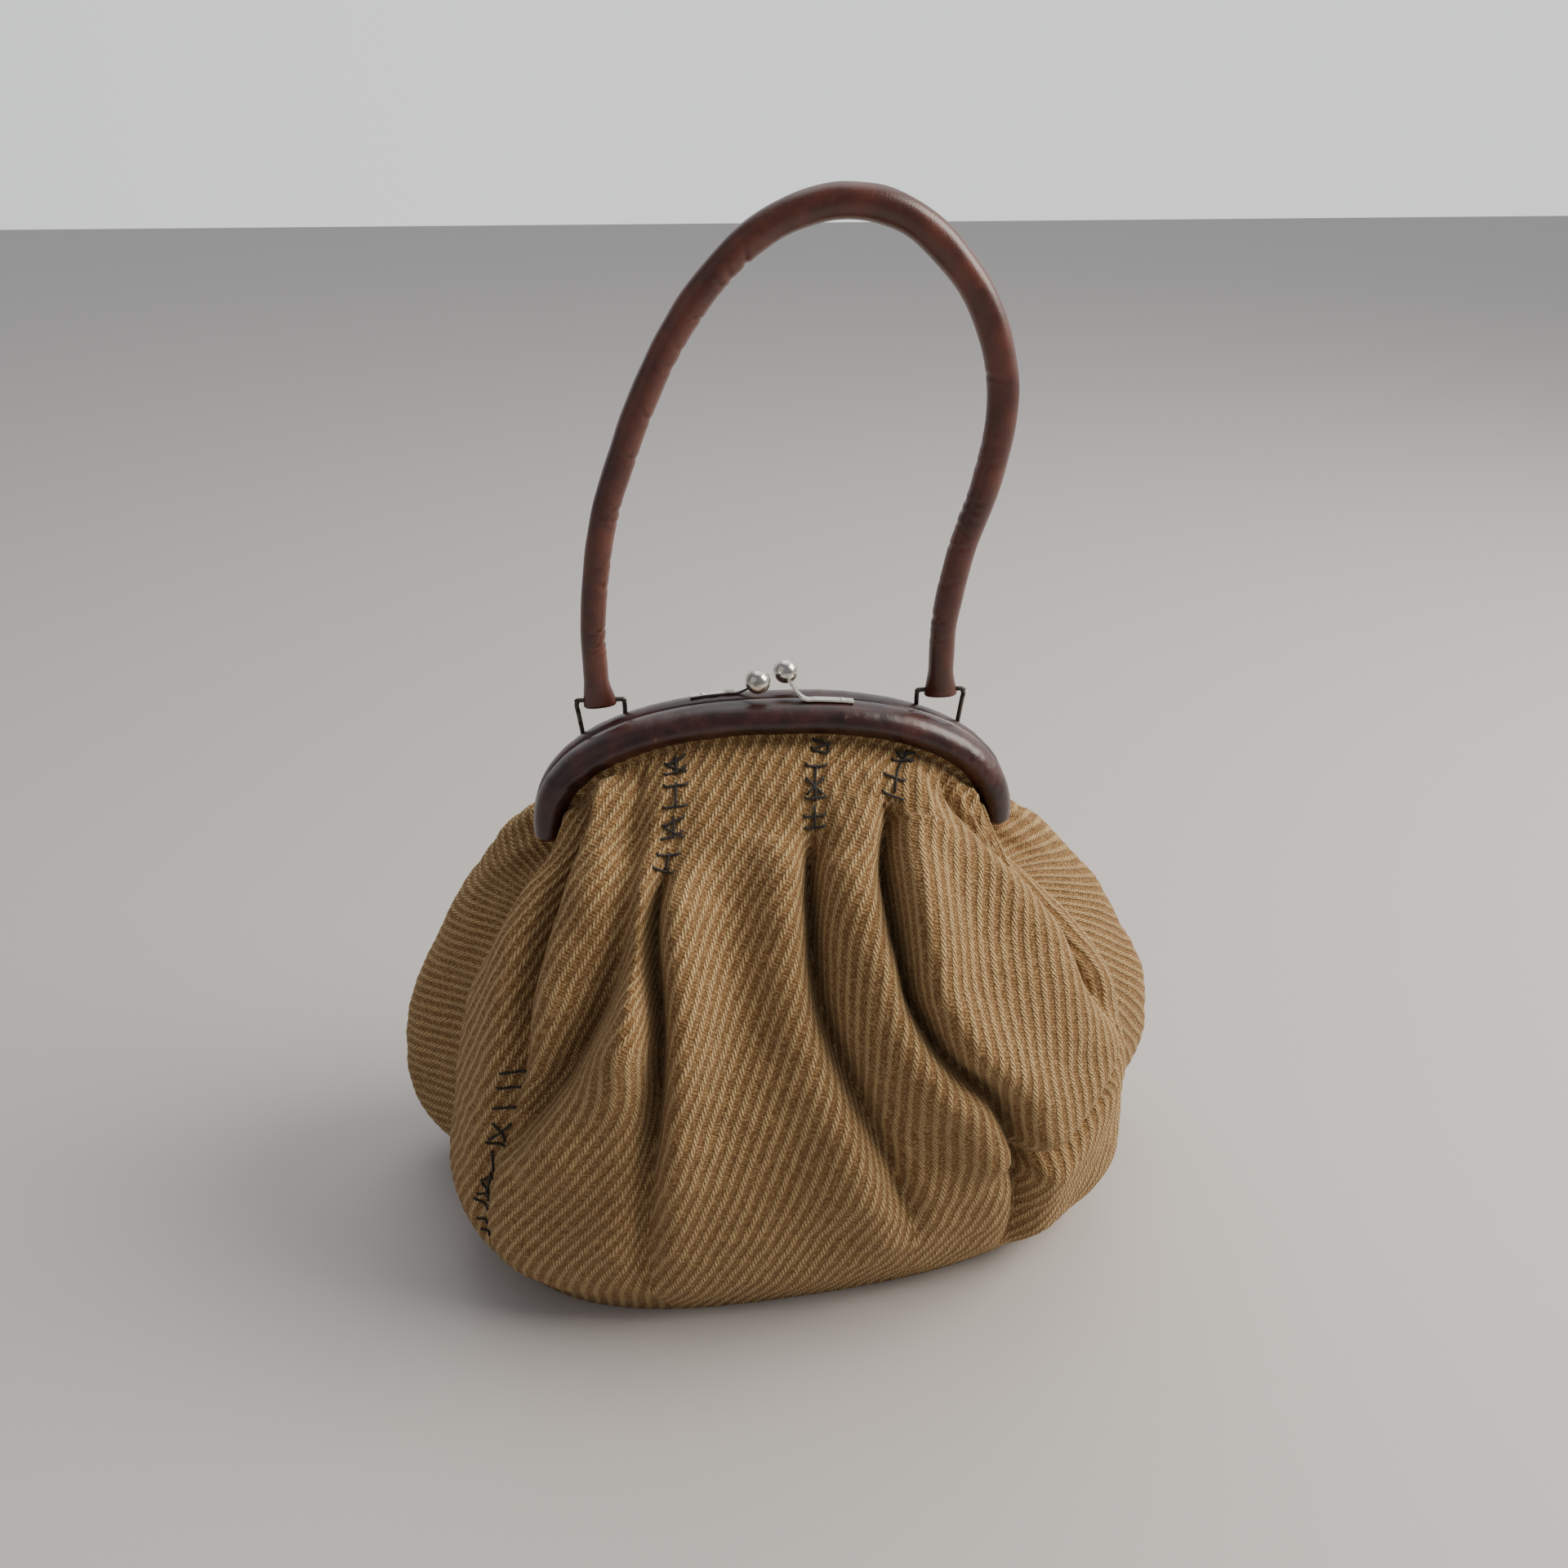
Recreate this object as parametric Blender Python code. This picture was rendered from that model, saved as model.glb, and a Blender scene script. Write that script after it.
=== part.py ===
"""Frame handbag of ribbed wool cloth, with a leather-covered arch frame, ball clasp and rolled handle.

Metres, +Z up, front towards -Y. The origin is at the middle of the flat underside.
"""

import math
from collections import namedtuple
from functools import lru_cache

import bmesh
import bpy
import numpy as np
from mathutils import Vector

FIT_GAP = 0.0003

# Frame: two leather-covered bars bent to one arch, hinged at both ends
FRAME_WIDTH = 0.196
FRAME_TOP = 0.252
ARCH_RISE = 0.054
ARCH_ROUNDNESS = 2.3
BAR_HEIGHT = 0.0125
BAR_DEPTH = 0.0125
BAR_PARTING = 0.0006
BAR_STEPS = 32

# Cloth bag
BODY_WIDTH = 0.370
BODY_DEPTH = 0.190
BODY_HEIGHT = 0.240
CLOTH_THICKNESS = 0.0022
CLOTH_INSERTION = 0.0035
CHANNEL_DEPTH = 0.0045
LIP_DROP = 0.0030
GUSSET_DROP = 0.008
SEAM_REACH = 0.025

# Hinges, seen from the side as two overlapping lugs on one pin
HINGE_DROP = 0.0045
LUG_RADIUS = 0.0032
LUG_THICKNESS = 0.0015
LUG_INSET = 0.0027
LUG_ROOT = (0.12, 0.70)  # shares of BAR_DEPTH that a lug's root spans
PIN_RADIUS = 0.0010
PIN_HEAD_RADIUS = 0.0020
PIN_HEAD_THICKNESS = 0.0008

# Ball clasp
BALL_RADIUS = 0.0050
STRIP_WIDTH = 0.0033
STRIP_THICKNESS = 0.0012
STRIP_LINE = 0.0050
TANG_RADIUS = 0.0009
TANG_LENGTH = 0.0030

# Wire loops and rolled handle
WIRE_RADIUS = 0.00095
LOOP_LINE = 0.0080
LOOP_TOP = 0.2495
LOOP_FOOT_DEPTH = 0.0040
HANDLE_SPAN = 0.1376
HANDLE_BASE = 0.2465
HANDLE_RISE = 0.1895
HANDLE_RADIUS = 0.00575
TAB_LENGTH = 0.013
TAB_HALF_WIDTH = 0.0068
TAB_HALF_DEPTH = 0.0036

CHANNEL_MIDDLE = BAR_PARTING / 2 + BAR_DEPTH / 2
HINGE_HEIGHT = FRAME_TOP - ARCH_RISE - HINGE_DROP

# Bar section: shares of BAR_HEIGHT in from the outer edge and of BAR_DEPTH out from the parting face
BAR_SECTION = (
    (0.92, 0.00),
    (0.10, 0.00),
    (0.02, 0.10),
    (0.00, 0.28),
    (0.02, 0.50),
    (0.10, 0.72),
    (0.26, 0.90),
    (0.48, 0.99),
    (0.68, 0.97),
    (0.84, 0.86),
    (0.95, 0.74),
)
INNER_EDGE = 0.10  # share of BAR_DEPTH at which the underside meets the parting side's bevel

# Shares of the half body width, half body depth and body height at each level of the cloth; the
# skew is the share of the front's depth that its left end gains and its right end loses
Section = namedtuple(
    "Section",
    "name height front_width rear_width seam_width front_depth rear_depth roundness crown sway skew",
)
SECTIONS = (
    Section("base", 0.000, 0.70, 0.80, 0.68, 0.75, 0.76, 2.6, 0.000, 0.025, 0.20),
    Section("hip", 0.125, 0.82, 0.99, 0.79, 0.92, 0.95, 2.5, 0.000, 0.030, 0.12),
    Section("belly", 0.325, 0.82, 1.01, 0.78, 0.99, 1.00, 2.4, 0.000, 0.033, 0.03),
    Section("waist", 0.520, 0.78, 0.91, 0.70, 0.88, 0.90, 2.4, 0.020, 0.028, 0.00),
    Section("yoke", 0.640, 0.70, 0.79, 0.58, 0.60, 0.64, 2.6, 0.110, 0.010, 0.00),
    Section("neck", 0.710, 0.60, 0.64, 0.49, 0.27, 0.29, 2.8, 0.210, 0.000, 0.00),
)
LIP_LEVEL = len(SECTIONS)

# Creases: points (share across the panel, level, strength) from the frame down, then metres; a
# negative depth is a ridge. The rolls are the lips on the left and right hand of the crease.
FRONT, REAR = -1, 1
Crease = namedtuple("Crease", "name side path depth width left_roll right_roll gather")
CREASES = (
    Crease("left crease", FRONT,
           ((0.156, 5.8, 0.3), (0.181, 4.7, 0.9), (0.188, 3.65, 1.0), (0.194, 3.0, 0.8),
            (0.180, 2.4, 0.5), (0.145, 1.2, 0.3), (0.140, 0.6, 0.0)),
           0.0070, 0.014, 0.0025, 0.0030, 0.2),
    Crease("left diagonal", FRONT,
           ((0.250, 5.8, 0.2), (0.265, 5.0, 0.4), (0.284, 4.3, 0.7), (0.288, 3.65, 1.0),
            (0.256, 3.05, 1.0), (0.206, 2.35, 0.7), (0.180, 2.0, 0.0)),
           0.0075, 0.020, 0.0015, 0.0055, 0.0),
    Crease("left dart", FRONT,
           ((0.325, 6.0, 0.15), (0.338, 5.0, 0.2), (0.344, 4.5, 0.4), (0.338, 4.1, 1.0),
            (0.350, 3.4, 1.0), (0.350, 2.85, 0.8), (0.338, 1.3, 0.25), (0.338, 0.8, 0.0)),
           0.0130, 0.013, 0.0040, 0.0060, 0.4),
    Crease("middle dart", FRONT,
           ((0.581, 6.0, 0.15), (0.560, 5.0, 0.2), (0.550, 4.65, 0.4), (0.537, 4.35, 1.0),
            (0.528, 3.65, 0.9), (0.537, 3.2, 0.8), (0.562, 2.65, 0.7), (0.595, 1.95, 0.5),
            (0.612, 1.5, 0.2), (0.620, 1.2, 0.0)),
           0.0120, 0.014, 0.0055, 0.0015, 0.4),
    Crease("middle roll", FRONT,
           ((0.569, 4.5, 0.0), (0.575, 4.1, 0.6), (0.584, 3.6, 1.0), (0.600, 3.1, 1.0),
            (0.630, 2.8, 0.8), (0.705, 2.05, 0.3), (0.730, 1.8, 0.0)),
           -0.0060, 0.015, 0.0, 0.0, 0.0),
    Crease("right dart", FRONT,
           ((0.738, 6.0, 0.15), (0.690, 5.0, 0.25), (0.675, 4.8, 0.6), (0.640, 4.3, 1.0),
            (0.628, 3.6, 1.0), (0.635, 3.3, 1.0), (0.655, 3.0, 0.9), (0.695, 2.65, 0.8),
            (0.715, 2.2, 0.6), (0.725, 1.85, 0.6), (0.738, 1.0, 0.3), (0.740, 0.5, 0.0)),
           0.0130, 0.013, 0.0030, 0.0060, 0.4),
    Crease("right lobe", FRONT,
           ((0.760, 4.9, 0.0), (0.750, 4.2, 0.7), (0.745, 3.6, 1.0), (0.775, 3.0, 1.0),
            (0.790, 2.6, 0.7), (0.800, 2.2, 0.0)),
           -0.0070, 0.034, 0.0, 0.0, 0.0),
    Crease("right crease", FRONT,
           ((0.870, 5.4, 0.0), (0.866, 4.9, 0.2), (0.870, 4.3, 0.8), (0.865, 3.8, 1.0),
            (0.855, 3.4, 0.8), (0.870, 3.0, 0.5), (0.885, 2.6, 0.0)),
           0.0085, 0.015, 0.0040, 0.0030, 0.2),
    Crease("right pinch", FRONT,
           ((0.725, 1.95, 0.6), (0.781, 2.1, 1.0), (0.850, 2.4, 0.9), (0.920, 2.7, 0.0)),
           0.0080, 0.014, 0.0020, 0.0050, 0.2),
    Crease("rear left crease", REAR,
           ((0.170, 5.8, 0.3), (0.190, 4.8, 1.0), (0.200, 3.8, 0.8), (0.190, 2.6, 0.4), (0.180, 1.6, 0.0)),
           0.0080, 0.016, 0.0040, 0.0030, 0.2),
    Crease("rear left dart", REAR,
           ((0.400, 6.0, 0.15), (0.405, 4.8, 0.3), (0.410, 4.3, 1.0), (0.395, 3.4, 0.9),
            (0.380, 2.4, 0.6), (0.375, 1.3, 0.0)),
           0.0120, 0.014, 0.0050, 0.0040, 0.4),
    Crease("rear right dart", REAR,
           ((0.620, 6.0, 0.15), (0.610, 4.8, 0.3), (0.600, 4.3, 1.0), (0.610, 3.4, 0.9),
            (0.630, 2.2, 0.6), (0.640, 1.0, 0.0)),
           0.0120, 0.014, 0.0040, 0.0050, 0.4),
    Crease("rear right crease", REAR,
           ((0.840, 5.8, 0.3), (0.820, 4.8, 1.0), (0.810, 3.8, 0.9), (0.820, 2.6, 0.4), (0.830, 1.6, 0.0)),
           0.0080, 0.016, 0.0030, 0.0040, 0.2),
)
CREASE_BEADS = 12

# Cloth mesh: lines of columns laid along the main creases, as shares at levels 0 to 6, with the
# number of columns between one line and the next
FRONT_LINES = (
    (0.140, 0.140, 0.172, 0.194, 0.186, 0.176, 0.156),
    (0.338, 0.338, 0.345, 0.350, 0.341, 0.338, 0.325),
    (0.620, 0.618, 0.592, 0.543, 0.531, 0.560, 0.581),
    (0.742, 0.738, 0.722, 0.655, 0.633, 0.690, 0.738),
    (0.868, 0.868, 0.868, 0.870, 0.872, 0.873, 0.875),
)
FRONT_COLUMNS = (4, 4, 7, 8, 6, 6, 4, 4)
REAR_LINES = (
    (0.180, 0.180, 0.185, 0.195, 0.200, 0.190, 0.170),
    (0.375, 0.375, 0.378, 0.390, 0.405, 0.405, 0.400),
    (0.640, 0.640, 0.632, 0.615, 0.603, 0.608, 0.620),
    (0.830, 0.830, 0.825, 0.815, 0.812, 0.820, 0.840),
)
REAR_COLUMNS = (4, 4, 6, 7, 6, 4, 4)
COLUMN_CROWDING = 0.35  # how much closer the columns lie next to a line than between two
ROW_LEVELS = (
    0.0, 0.3, 0.7, 1.1, 1.5, 1.9, 2.3, 2.7, 3.1, 3.45, 3.8, 4.1, 4.4, 4.7, 5.0, 5.3, 5.6, 6.0,
)
UNDERSIDE_RINGS = (0.30, 0.66)

# Handle centreline: shares of HANDLE_SPAN across from the middle and of HANDLE_RISE up
HANDLE_PATH = (
    (-0.500, 0.000), (-0.508, 0.066), (-0.508, 0.175), (-0.490, 0.299), (-0.463, 0.401),
    (-0.419, 0.501), (-0.360, 0.609), (-0.297, 0.706), (-0.225, 0.793), (-0.147, 0.866),
    (-0.066, 0.923), (0.025, 0.966), (0.117, 0.990), (0.205, 0.997), (0.295, 0.987),
    (0.380, 0.959), (0.463, 0.908), (0.536, 0.843), (0.589, 0.768), (0.620, 0.691),
    (0.630, 0.613), (0.619, 0.533), (0.594, 0.451), (0.564, 0.383), (0.537, 0.314),
    (0.516, 0.244), (0.502, 0.173), (0.499, 0.098), (0.500, 0.000),
)
# Handle thickness in handle radii at shares of the way along
HANDLE_SWELL = (
    (0.000, 0.85), (0.060, 0.85), (0.200, 0.92), (0.400, 1.00), (0.520, 1.10),
    (0.680, 1.05), (0.850, 0.95), (0.940, 0.88), (1.000, 0.88),
)
HANDLE_RINGS = 42
HANDLE_SIDES = 14

# Clasp arms: the feet lie along the bars at distances x; then points (x, y, height over the frame top)
FRONT_FOOT = (0.0316, 0.0270, 0.0220, 0.0170, 0.0128)
FRONT_ARM = ((0.0098, -0.0040, 0.0028), (0.0070, -0.0010, 0.0062))
FRONT_BALL = (0.0053, 0.0040, 0.0092)
REAR_FOOT = (-0.0330, -0.0280, -0.0230, -0.0180, -0.0138)
REAR_ARM = ((-0.0108, 0.0035, 0.0026), (-0.0080, 0.0000, 0.0058))
REAR_BALL = (-0.0063, -0.0045, 0.0086)

# Wire loop, on the side of +X: distances from the middle, then heights over LOOP_TOP for the bend
LOOP_OUTER_FOOT = 0.0762
LOOP_INNER_FOOT = 0.0592
LOOP_BEND = (
    (0.0778, -0.0055), (0.0783, -0.0025), (0.0780, -0.0009), (0.0768, 0.0), (0.0606, 0.0),
    (0.0596, -0.0006), (0.0592, -0.0018),
)
LOOP_RINGS = 24

Finish = namedtuple("Finish", "colour roughness metallic")
CLOTH = Finish((0.352, 0.219, 0.105), 0.92, 0.0)
LEATHER = Finish((0.062, 0.020, 0.013), 0.34, 0.0)
HANDLE_LEATHER = Finish((0.075, 0.024, 0.014), 0.30, 0.0)
NICKEL = Finish((0.62, 0.60, 0.55), 0.28, 1.0)
DARK_WIRE = Finish((0.11, 0.10, 0.09), 0.42, 1.0)
PIN_STEEL = Finish((0.30, 0.28, 0.25), 0.40, 1.0)


def along(points):
    """Distance from the first point to each point of a polyline."""
    steps = np.linalg.norm(np.diff(points, axis=0), axis=1)
    return np.concatenate([[0], np.cumsum(steps)])


def at_share(points, share):
    """The polyline's points at shares of its length."""
    length = along(points)
    want = np.asarray(share) * length[-1]
    return np.stack([np.interp(want, length, points[:, k]) for k in range(points.shape[1])], -1)


@lru_cache(maxsize=None)
def superellipse(half_width, depth, roundness, base=0.0):
    """Points (x, depth) of a half superellipse from -half_width to half_width, evenly spaced along it."""
    angle = np.linspace(0, math.pi, 400)
    power = 2 / roundness
    x = -half_width * np.sign(np.cos(angle)) * np.abs(np.cos(angle)) ** power
    y = base + depth * np.abs(np.sin(angle)) ** power
    return at_share(np.stack([x, y], 1), np.linspace(0, 1, 400))


def smooth(t):
    t = np.clip(t, 0, 1)
    return t * t * (3 - 2 * t)


def spline(rows, level):
    """Catmull-Rom interpolation of rows of points at a level counted in rows."""
    last = len(rows) - 1
    i = int(min(max(math.floor(level), 0), last - 1))
    t = level - i
    a = rows[i - 1] if i > 0 else 2 * rows[0] - rows[1]
    b, c = rows[i], rows[i + 1]
    d = rows[i + 2] if i + 2 <= last else 2 * rows[last] - rows[last - 1]
    return 0.5 * (2 * b + (c - a) * t + (2 * a - 5 * b + 4 * c - d) * t**2 + (3 * b - a - 3 * c + d) * t**3)


def arch_curve(inset):
    """The arch (x, z) at a distance inside the bars' outer edge, from the left hinge to the right."""
    return superellipse(FRAME_WIDTH / 2 - inset, ARCH_RISE - inset, ARCH_ROUNDNESS, FRAME_TOP - ARCH_RISE)


def arch_height(x):
    """Height of the bars' outer edge at a distance x from the middle."""
    share = min(abs(x) / (FRAME_WIDTH / 2), 1)
    rise = (1 - share**ARCH_ROUNDNESS) ** (1 / ARCH_ROUNDNESS)
    return FRAME_TOP - ARCH_RISE * (1 - rise)


def gusset_share():
    """Share of a panel's edge that hangs between the side seam and the end of the bar."""
    edge = GUSSET_DROP + CHANNEL_MIDDLE
    return edge / (along(arch_curve(BAR_HEIGHT - CLOTH_INSERTION))[-1] + 2 * edge)


def mouth_row(share, below, side):
    """Outer face of the cloth at a distance below its free edge, which sits in one bar's channel.

    Past each hinge the edge drops straight down, then runs across to the side seam.
    """
    rim = BAR_HEIGHT - CLOTH_INSERTION
    gusset = gusset_share()
    xz = at_share(arch_curve(rim + below), (share - gusset) / (1 - 2 * gusset))
    from_seam = np.minimum(np.minimum(share, 1 - share) / gusset, 1)
    hand = np.where(share < 0.5, -1.0, 1.0)
    climb = np.maximum(2 * from_seam - 1, 0)
    turn = climb * math.pi / 2
    drop_x = hand * (FRAME_WIDTH / 2 - rim - below * np.sin(turn))
    drop_z = FRAME_TOP - ARCH_RISE - GUSSET_DROP * (1 - climb) - below * np.cos(turn)
    x = np.where(from_seam < 1, drop_x, xz[..., 0])
    z = np.where(from_seam < 1, drop_z, xz[..., 1])
    y = side * (CHANNEL_MIDDLE + CLOTH_THICKNESS / 2) * np.minimum(2 * from_seam, 1)
    return np.stack([x, y, z], -1)


def section_row(section, share, side):
    """Points of one cloth section on one side, before any crease is put in."""
    half = BODY_WIDTH / 2
    width = half * (section.front_width if side < 0 else section.rear_width)
    depth = BODY_DEPTH / 2 * (section.front_depth if side < 0 else section.rear_depth)
    curve = superellipse(width, depth, section.roundness)
    xy = at_share(curve, share)
    length = along(curve)[-1]
    seam = half * section.seam_width
    x = xy[..., 0]
    for end, hand in ((0.0, -1), (1.0, 1)):
        near = np.exp(-((np.abs(share - end) * length / SEAM_REACH) ** 2))
        x = x - hand * (width - seam) * near
    across = np.clip(xy[..., 0] / width, -1, 1)
    crown = BODY_HEIGHT * section.crown * (1 - across**4)
    z = BODY_HEIGHT * section.height + crown
    skew = section.skew if side < 0 else 0
    y = side * xy[..., 1] * (1 - skew * across)
    return np.stack([x + half * section.sway, y, z], -1)


def smooth_point(share, level, side):
    """The cloth without creases, for an array of shares across a panel at one level, 0 base to 6 lip."""
    rows = [section_row(s, share, side) for s in SECTIONS]
    rows.append(mouth_row(share, CLOTH_INSERTION + LIP_DROP, side))
    return spline(rows, level)


def smooth_normal(share, level, side):
    """Outward normals of the cloth without creases."""
    left = smooth_point(np.maximum(share - 0.004, 0), level, side)
    right = smooth_point(np.minimum(share + 0.004, 1), level, side)
    low = smooth_point(share, max(level - 0.05, 0), side)
    high = smooth_point(share, min(level + 0.05, LIP_LEVEL), side)
    normal = -side * np.cross(right - left, high - low)
    return normal / np.linalg.norm(normal, axis=-1, keepdims=True)


@lru_cache(maxsize=None)
def crease_beads(crease):
    """Points, directions to the right hand and strengths close together along a crease."""
    path = np.array(crease.path)
    steps = np.linspace(0, len(path) - 1, CREASE_BEADS * (len(path) - 1) + 1)
    share, level, strength = (np.interp(steps, np.arange(len(path)), path[:, k]) for k in range(3))
    points = np.array([smooth_point(s, v, crease.side) for s, v in zip(share, level)])
    normals = np.array([smooth_normal(s, v, crease.side) for s, v in zip(share, level)])
    right = np.cross(normals, np.gradient(points, axis=0))
    right /= np.linalg.norm(right, axis=1, keepdims=True)
    return points, right, strength


def crease_cloth(points, normals, side):
    """The points moved in at the creases of one side, out at their lips, and gathered towards them."""
    moved = points.copy()
    for crease in CREASES:
        if crease.side != side:
            continue
        beads, right, strength = crease_beads(crease)
        apart = points[:, None, :] - beads[None, :, :]
        nearest = np.argmin((apart**2).sum(-1), axis=1)
        gap = apart[np.arange(len(points)), nearest]
        offset = (gap * right[nearest]).sum(-1)
        slack = np.sqrt(np.maximum((gap**2).sum(-1) - offset**2, 0))
        t = offset / crease.width
        near = strength[nearest] * np.exp(-((slack / crease.width) ** 2))
        if crease.depth > 0:
            push = np.where(t < 0, crease.left_roll, crease.right_roll) * t**2 * np.exp(1 - t**2)
            push -= crease.depth * np.exp(-((t / 0.45) ** 2))
        else:
            push = -crease.depth * np.exp(-(t**2))
        moved += normals * (near * push)[:, None]
        moved -= right[nearest] * (near * crease.gather * offset * np.exp(-(t**2)))[:, None]
    return moved


def column_shares(lines, columns, level):
    """Shares across a panel of all mesh columns at a level, crowded a little towards the lines."""
    gusset = gusset_share()
    stops = [0.0, gusset]
    for line in lines:
        stops.append(float(np.interp(level, np.arange(len(line)), line)))
    stops += [1 - gusset, 1.0]
    shares = []
    for low, high, count in zip(stops, stops[1:], columns):
        u = np.arange(count) / count
        crowding = COLUMN_CROWDING if high - low > 2 * gusset else 0
        shares.extend(low + (high - low) * (u - crowding * np.sin(2 * math.pi * u) / (2 * math.pi)))
    return np.array(shares + [1.0])


def cloth_ring(level):
    """One closed row of cloth points: the front panel left to right, then the rear panel back."""
    front = column_shares(FRONT_LINES, FRONT_COLUMNS, level)
    rear = column_shares(REAR_LINES, REAR_COLUMNS, level)
    fade = smooth((LIP_LEVEL - level) / 0.4) * smooth(level / 0.6)
    panels = []
    for share, side in ((front, FRONT), (rear, REAR)):
        points = smooth_point(share, level, side)
        creased = crease_cloth(points, smooth_normal(share, level, side), side)
        panels.append(points + (creased - points) * fade)
    return np.concatenate([panels[0][:-1], panels[1][:0:-1]])


def edge_ring(below):
    """One closed row of the cloth's edge at a distance below the free edge."""
    front = mouth_row(column_shares(FRONT_LINES, FRONT_COLUMNS, LIP_LEVEL), below, FRONT)
    rear = mouth_row(column_shares(REAR_LINES, REAR_COLUMNS, LIP_LEVEL), below, REAR)
    return np.concatenate([front[:-1], rear[:0:-1]])


def material(name, finish):
    made = bpy.data.materials.new(name)
    made.use_nodes = True
    shader = made.node_tree.nodes["Principled BSDF"]
    shader.inputs["Base Color"].default_value = (*finish.colour, 1)
    shader.inputs["Roughness"].default_value = finish.roughness
    shader.inputs["Metallic"].default_value = finish.metallic
    return made


def add_object(name, bm, finish=None):
    """Turn a bmesh into a named object with faces outwards; without a finish it's a hidden tool."""
    bmesh.ops.recalc_face_normals(bm, faces=bm.faces)
    if bm.calc_volume(signed=True) < 0:
        bmesh.ops.reverse_faces(bm, faces=bm.faces)
    mesh = bpy.data.meshes.new(name)
    bm.to_mesh(mesh)
    bm.free()
    made = bpy.data.objects.new(name, mesh)
    bpy.context.scene.collection.objects.link(made)
    if finish:
        mesh.materials.append(material(name, finish))
        mesh.polygons.foreach_set("use_smooth", [True] * len(mesh.polygons))
    else:
        made.hide_render = True
        made.display_type = "WIRE"
    return made


def boolean(target, tool, operation):
    modifier = target.modifiers.new(tool.name, "BOOLEAN")
    modifier.object = tool
    modifier.operation = operation
    modifier.solver = "EXACT"


def loft(rings, name, finish=None):
    """A closed body through rings of points, with a flat face at each end."""
    bm = bmesh.new()
    rows = [[bm.verts.new(p) for p in ring] for ring in rings]
    sides = len(rows[0])
    for low, high in zip(rows, rows[1:]):
        for i in range(sides):
            j = (i + 1) % sides
            bm.faces.new((low[i], low[j], high[j], high[i]))
    caps = [bm.faces.new(rows[0]), bm.faces.new(rows[-1])]
    bmesh.ops.triangulate(bm, faces=caps)
    return add_object(name, bm, finish)


def sweep(path, half_width, half_depth, sides, name, finish=None, width_axis=(0, 1, 0)):
    """A closed body of elliptical section along a path; the sizes are numbers or one per point."""
    path = np.array(path, float)
    tangents = np.gradient(path, axis=0)
    half_width = np.broadcast_to(half_width, len(path))
    half_depth = np.broadcast_to(half_depth, len(path))
    rings = []
    for point, tangent, width, depth in zip(path, tangents, half_width, half_depth):
        tangent = Vector(tangent).normalized()
        across = Vector(width_axis)
        across = (across - tangent * across.dot(tangent)).normalized()
        out = across.cross(tangent)
        ring = []
        for k in range(sides):
            angle = 2 * math.pi * (k + 0.5) / sides
            ring.append(Vector(point) + across * width * math.cos(angle) + out * depth * math.sin(angle))
        rings.append(ring)
    return loft(rings, name, finish)


def cylinder(start, end, radius, name, sides=12):
    """A hidden tool for a round hole or pin between two points."""
    width_axis = (0, 0, 1) if abs(end[0] - start[0]) > abs(end[2] - start[2]) else (0, 1, 0)
    return sweep([start, end], radius, radius, sides, name, width_axis=width_axis)


def build_cloth():
    """The hollow cloth bag: outer wall, inner wall at cloth thickness, and the edge between them."""
    rows = [cloth_ring(level) for level in ROW_LEVELS]
    rows.append(edge_ring(CLOTH_INSERTION + FIT_GAP))
    rows.append(edge_ring(0.0))
    middle = np.array([rows[0][:, 0].mean(), 0, 0])
    rings = [middle + (rows[0] - middle) * share for share in UNDERSIDE_RINGS] + rows
    bm = bmesh.new()
    centre = bm.verts.new(middle)
    grid = [[bm.verts.new(p) for p in ring] for ring in rings]
    count = len(grid[0])
    for i in range(count):
        j = (i + 1) % count
        bm.faces.new((centre, grid[0][j], grid[0][i]))
        for low, high in zip(grid, grid[1:]):
            bm.faces.new((low[i], low[j], high[j], high[i]))
    bmesh.ops.recalc_face_normals(bm, faces=bm.faces)
    if sum(f.normal.z for f in centre.link_faces) > 0:
        bmesh.ops.reverse_faces(bm, faces=bm.faces)
    bm.normal_update()
    outer_verts = list(bm.verts)
    outer_faces = list(bm.faces)
    inner = {}
    for vert in outer_verts:
        evened = min(vert.calc_shell_factor(), 1.25)
        inner[vert] = vert.co - vert.normal * CLOTH_THICKNESS * evened
    made = {vert: bm.verts.new(co) for vert, co in inner.items()}
    for face in outer_faces:
        bm.faces.new([made[v] for v in reversed(face.verts)])
    rim = grid[-1]
    for i in range(count):
        j = (i + 1) % count
        bm.faces.new((rim[i], rim[j], made[rim[j]], made[rim[i]]))
    bmesh.ops.triangulate(bm, faces=bm.faces)
    return add_object("cloth_body", bm, CLOTH)


def bar_outline():
    """The bar's section with the channel for the cloth cut into its underside."""
    half_slot = (CLOTH_THICKNESS / 2 + FIT_GAP) / BAR_DEPTH
    slot_top = 1 - CHANNEL_DEPTH / BAR_HEIGHT
    channel = (
        (1.0, 0.5 + half_slot),
        (slot_top, 0.5 + half_slot),
        (slot_top, 0.5 - half_slot),
        (1.0, 0.5 - half_slot),
        (1.0, INNER_EDGE),
    )
    return BAR_SECTION + channel


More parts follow.
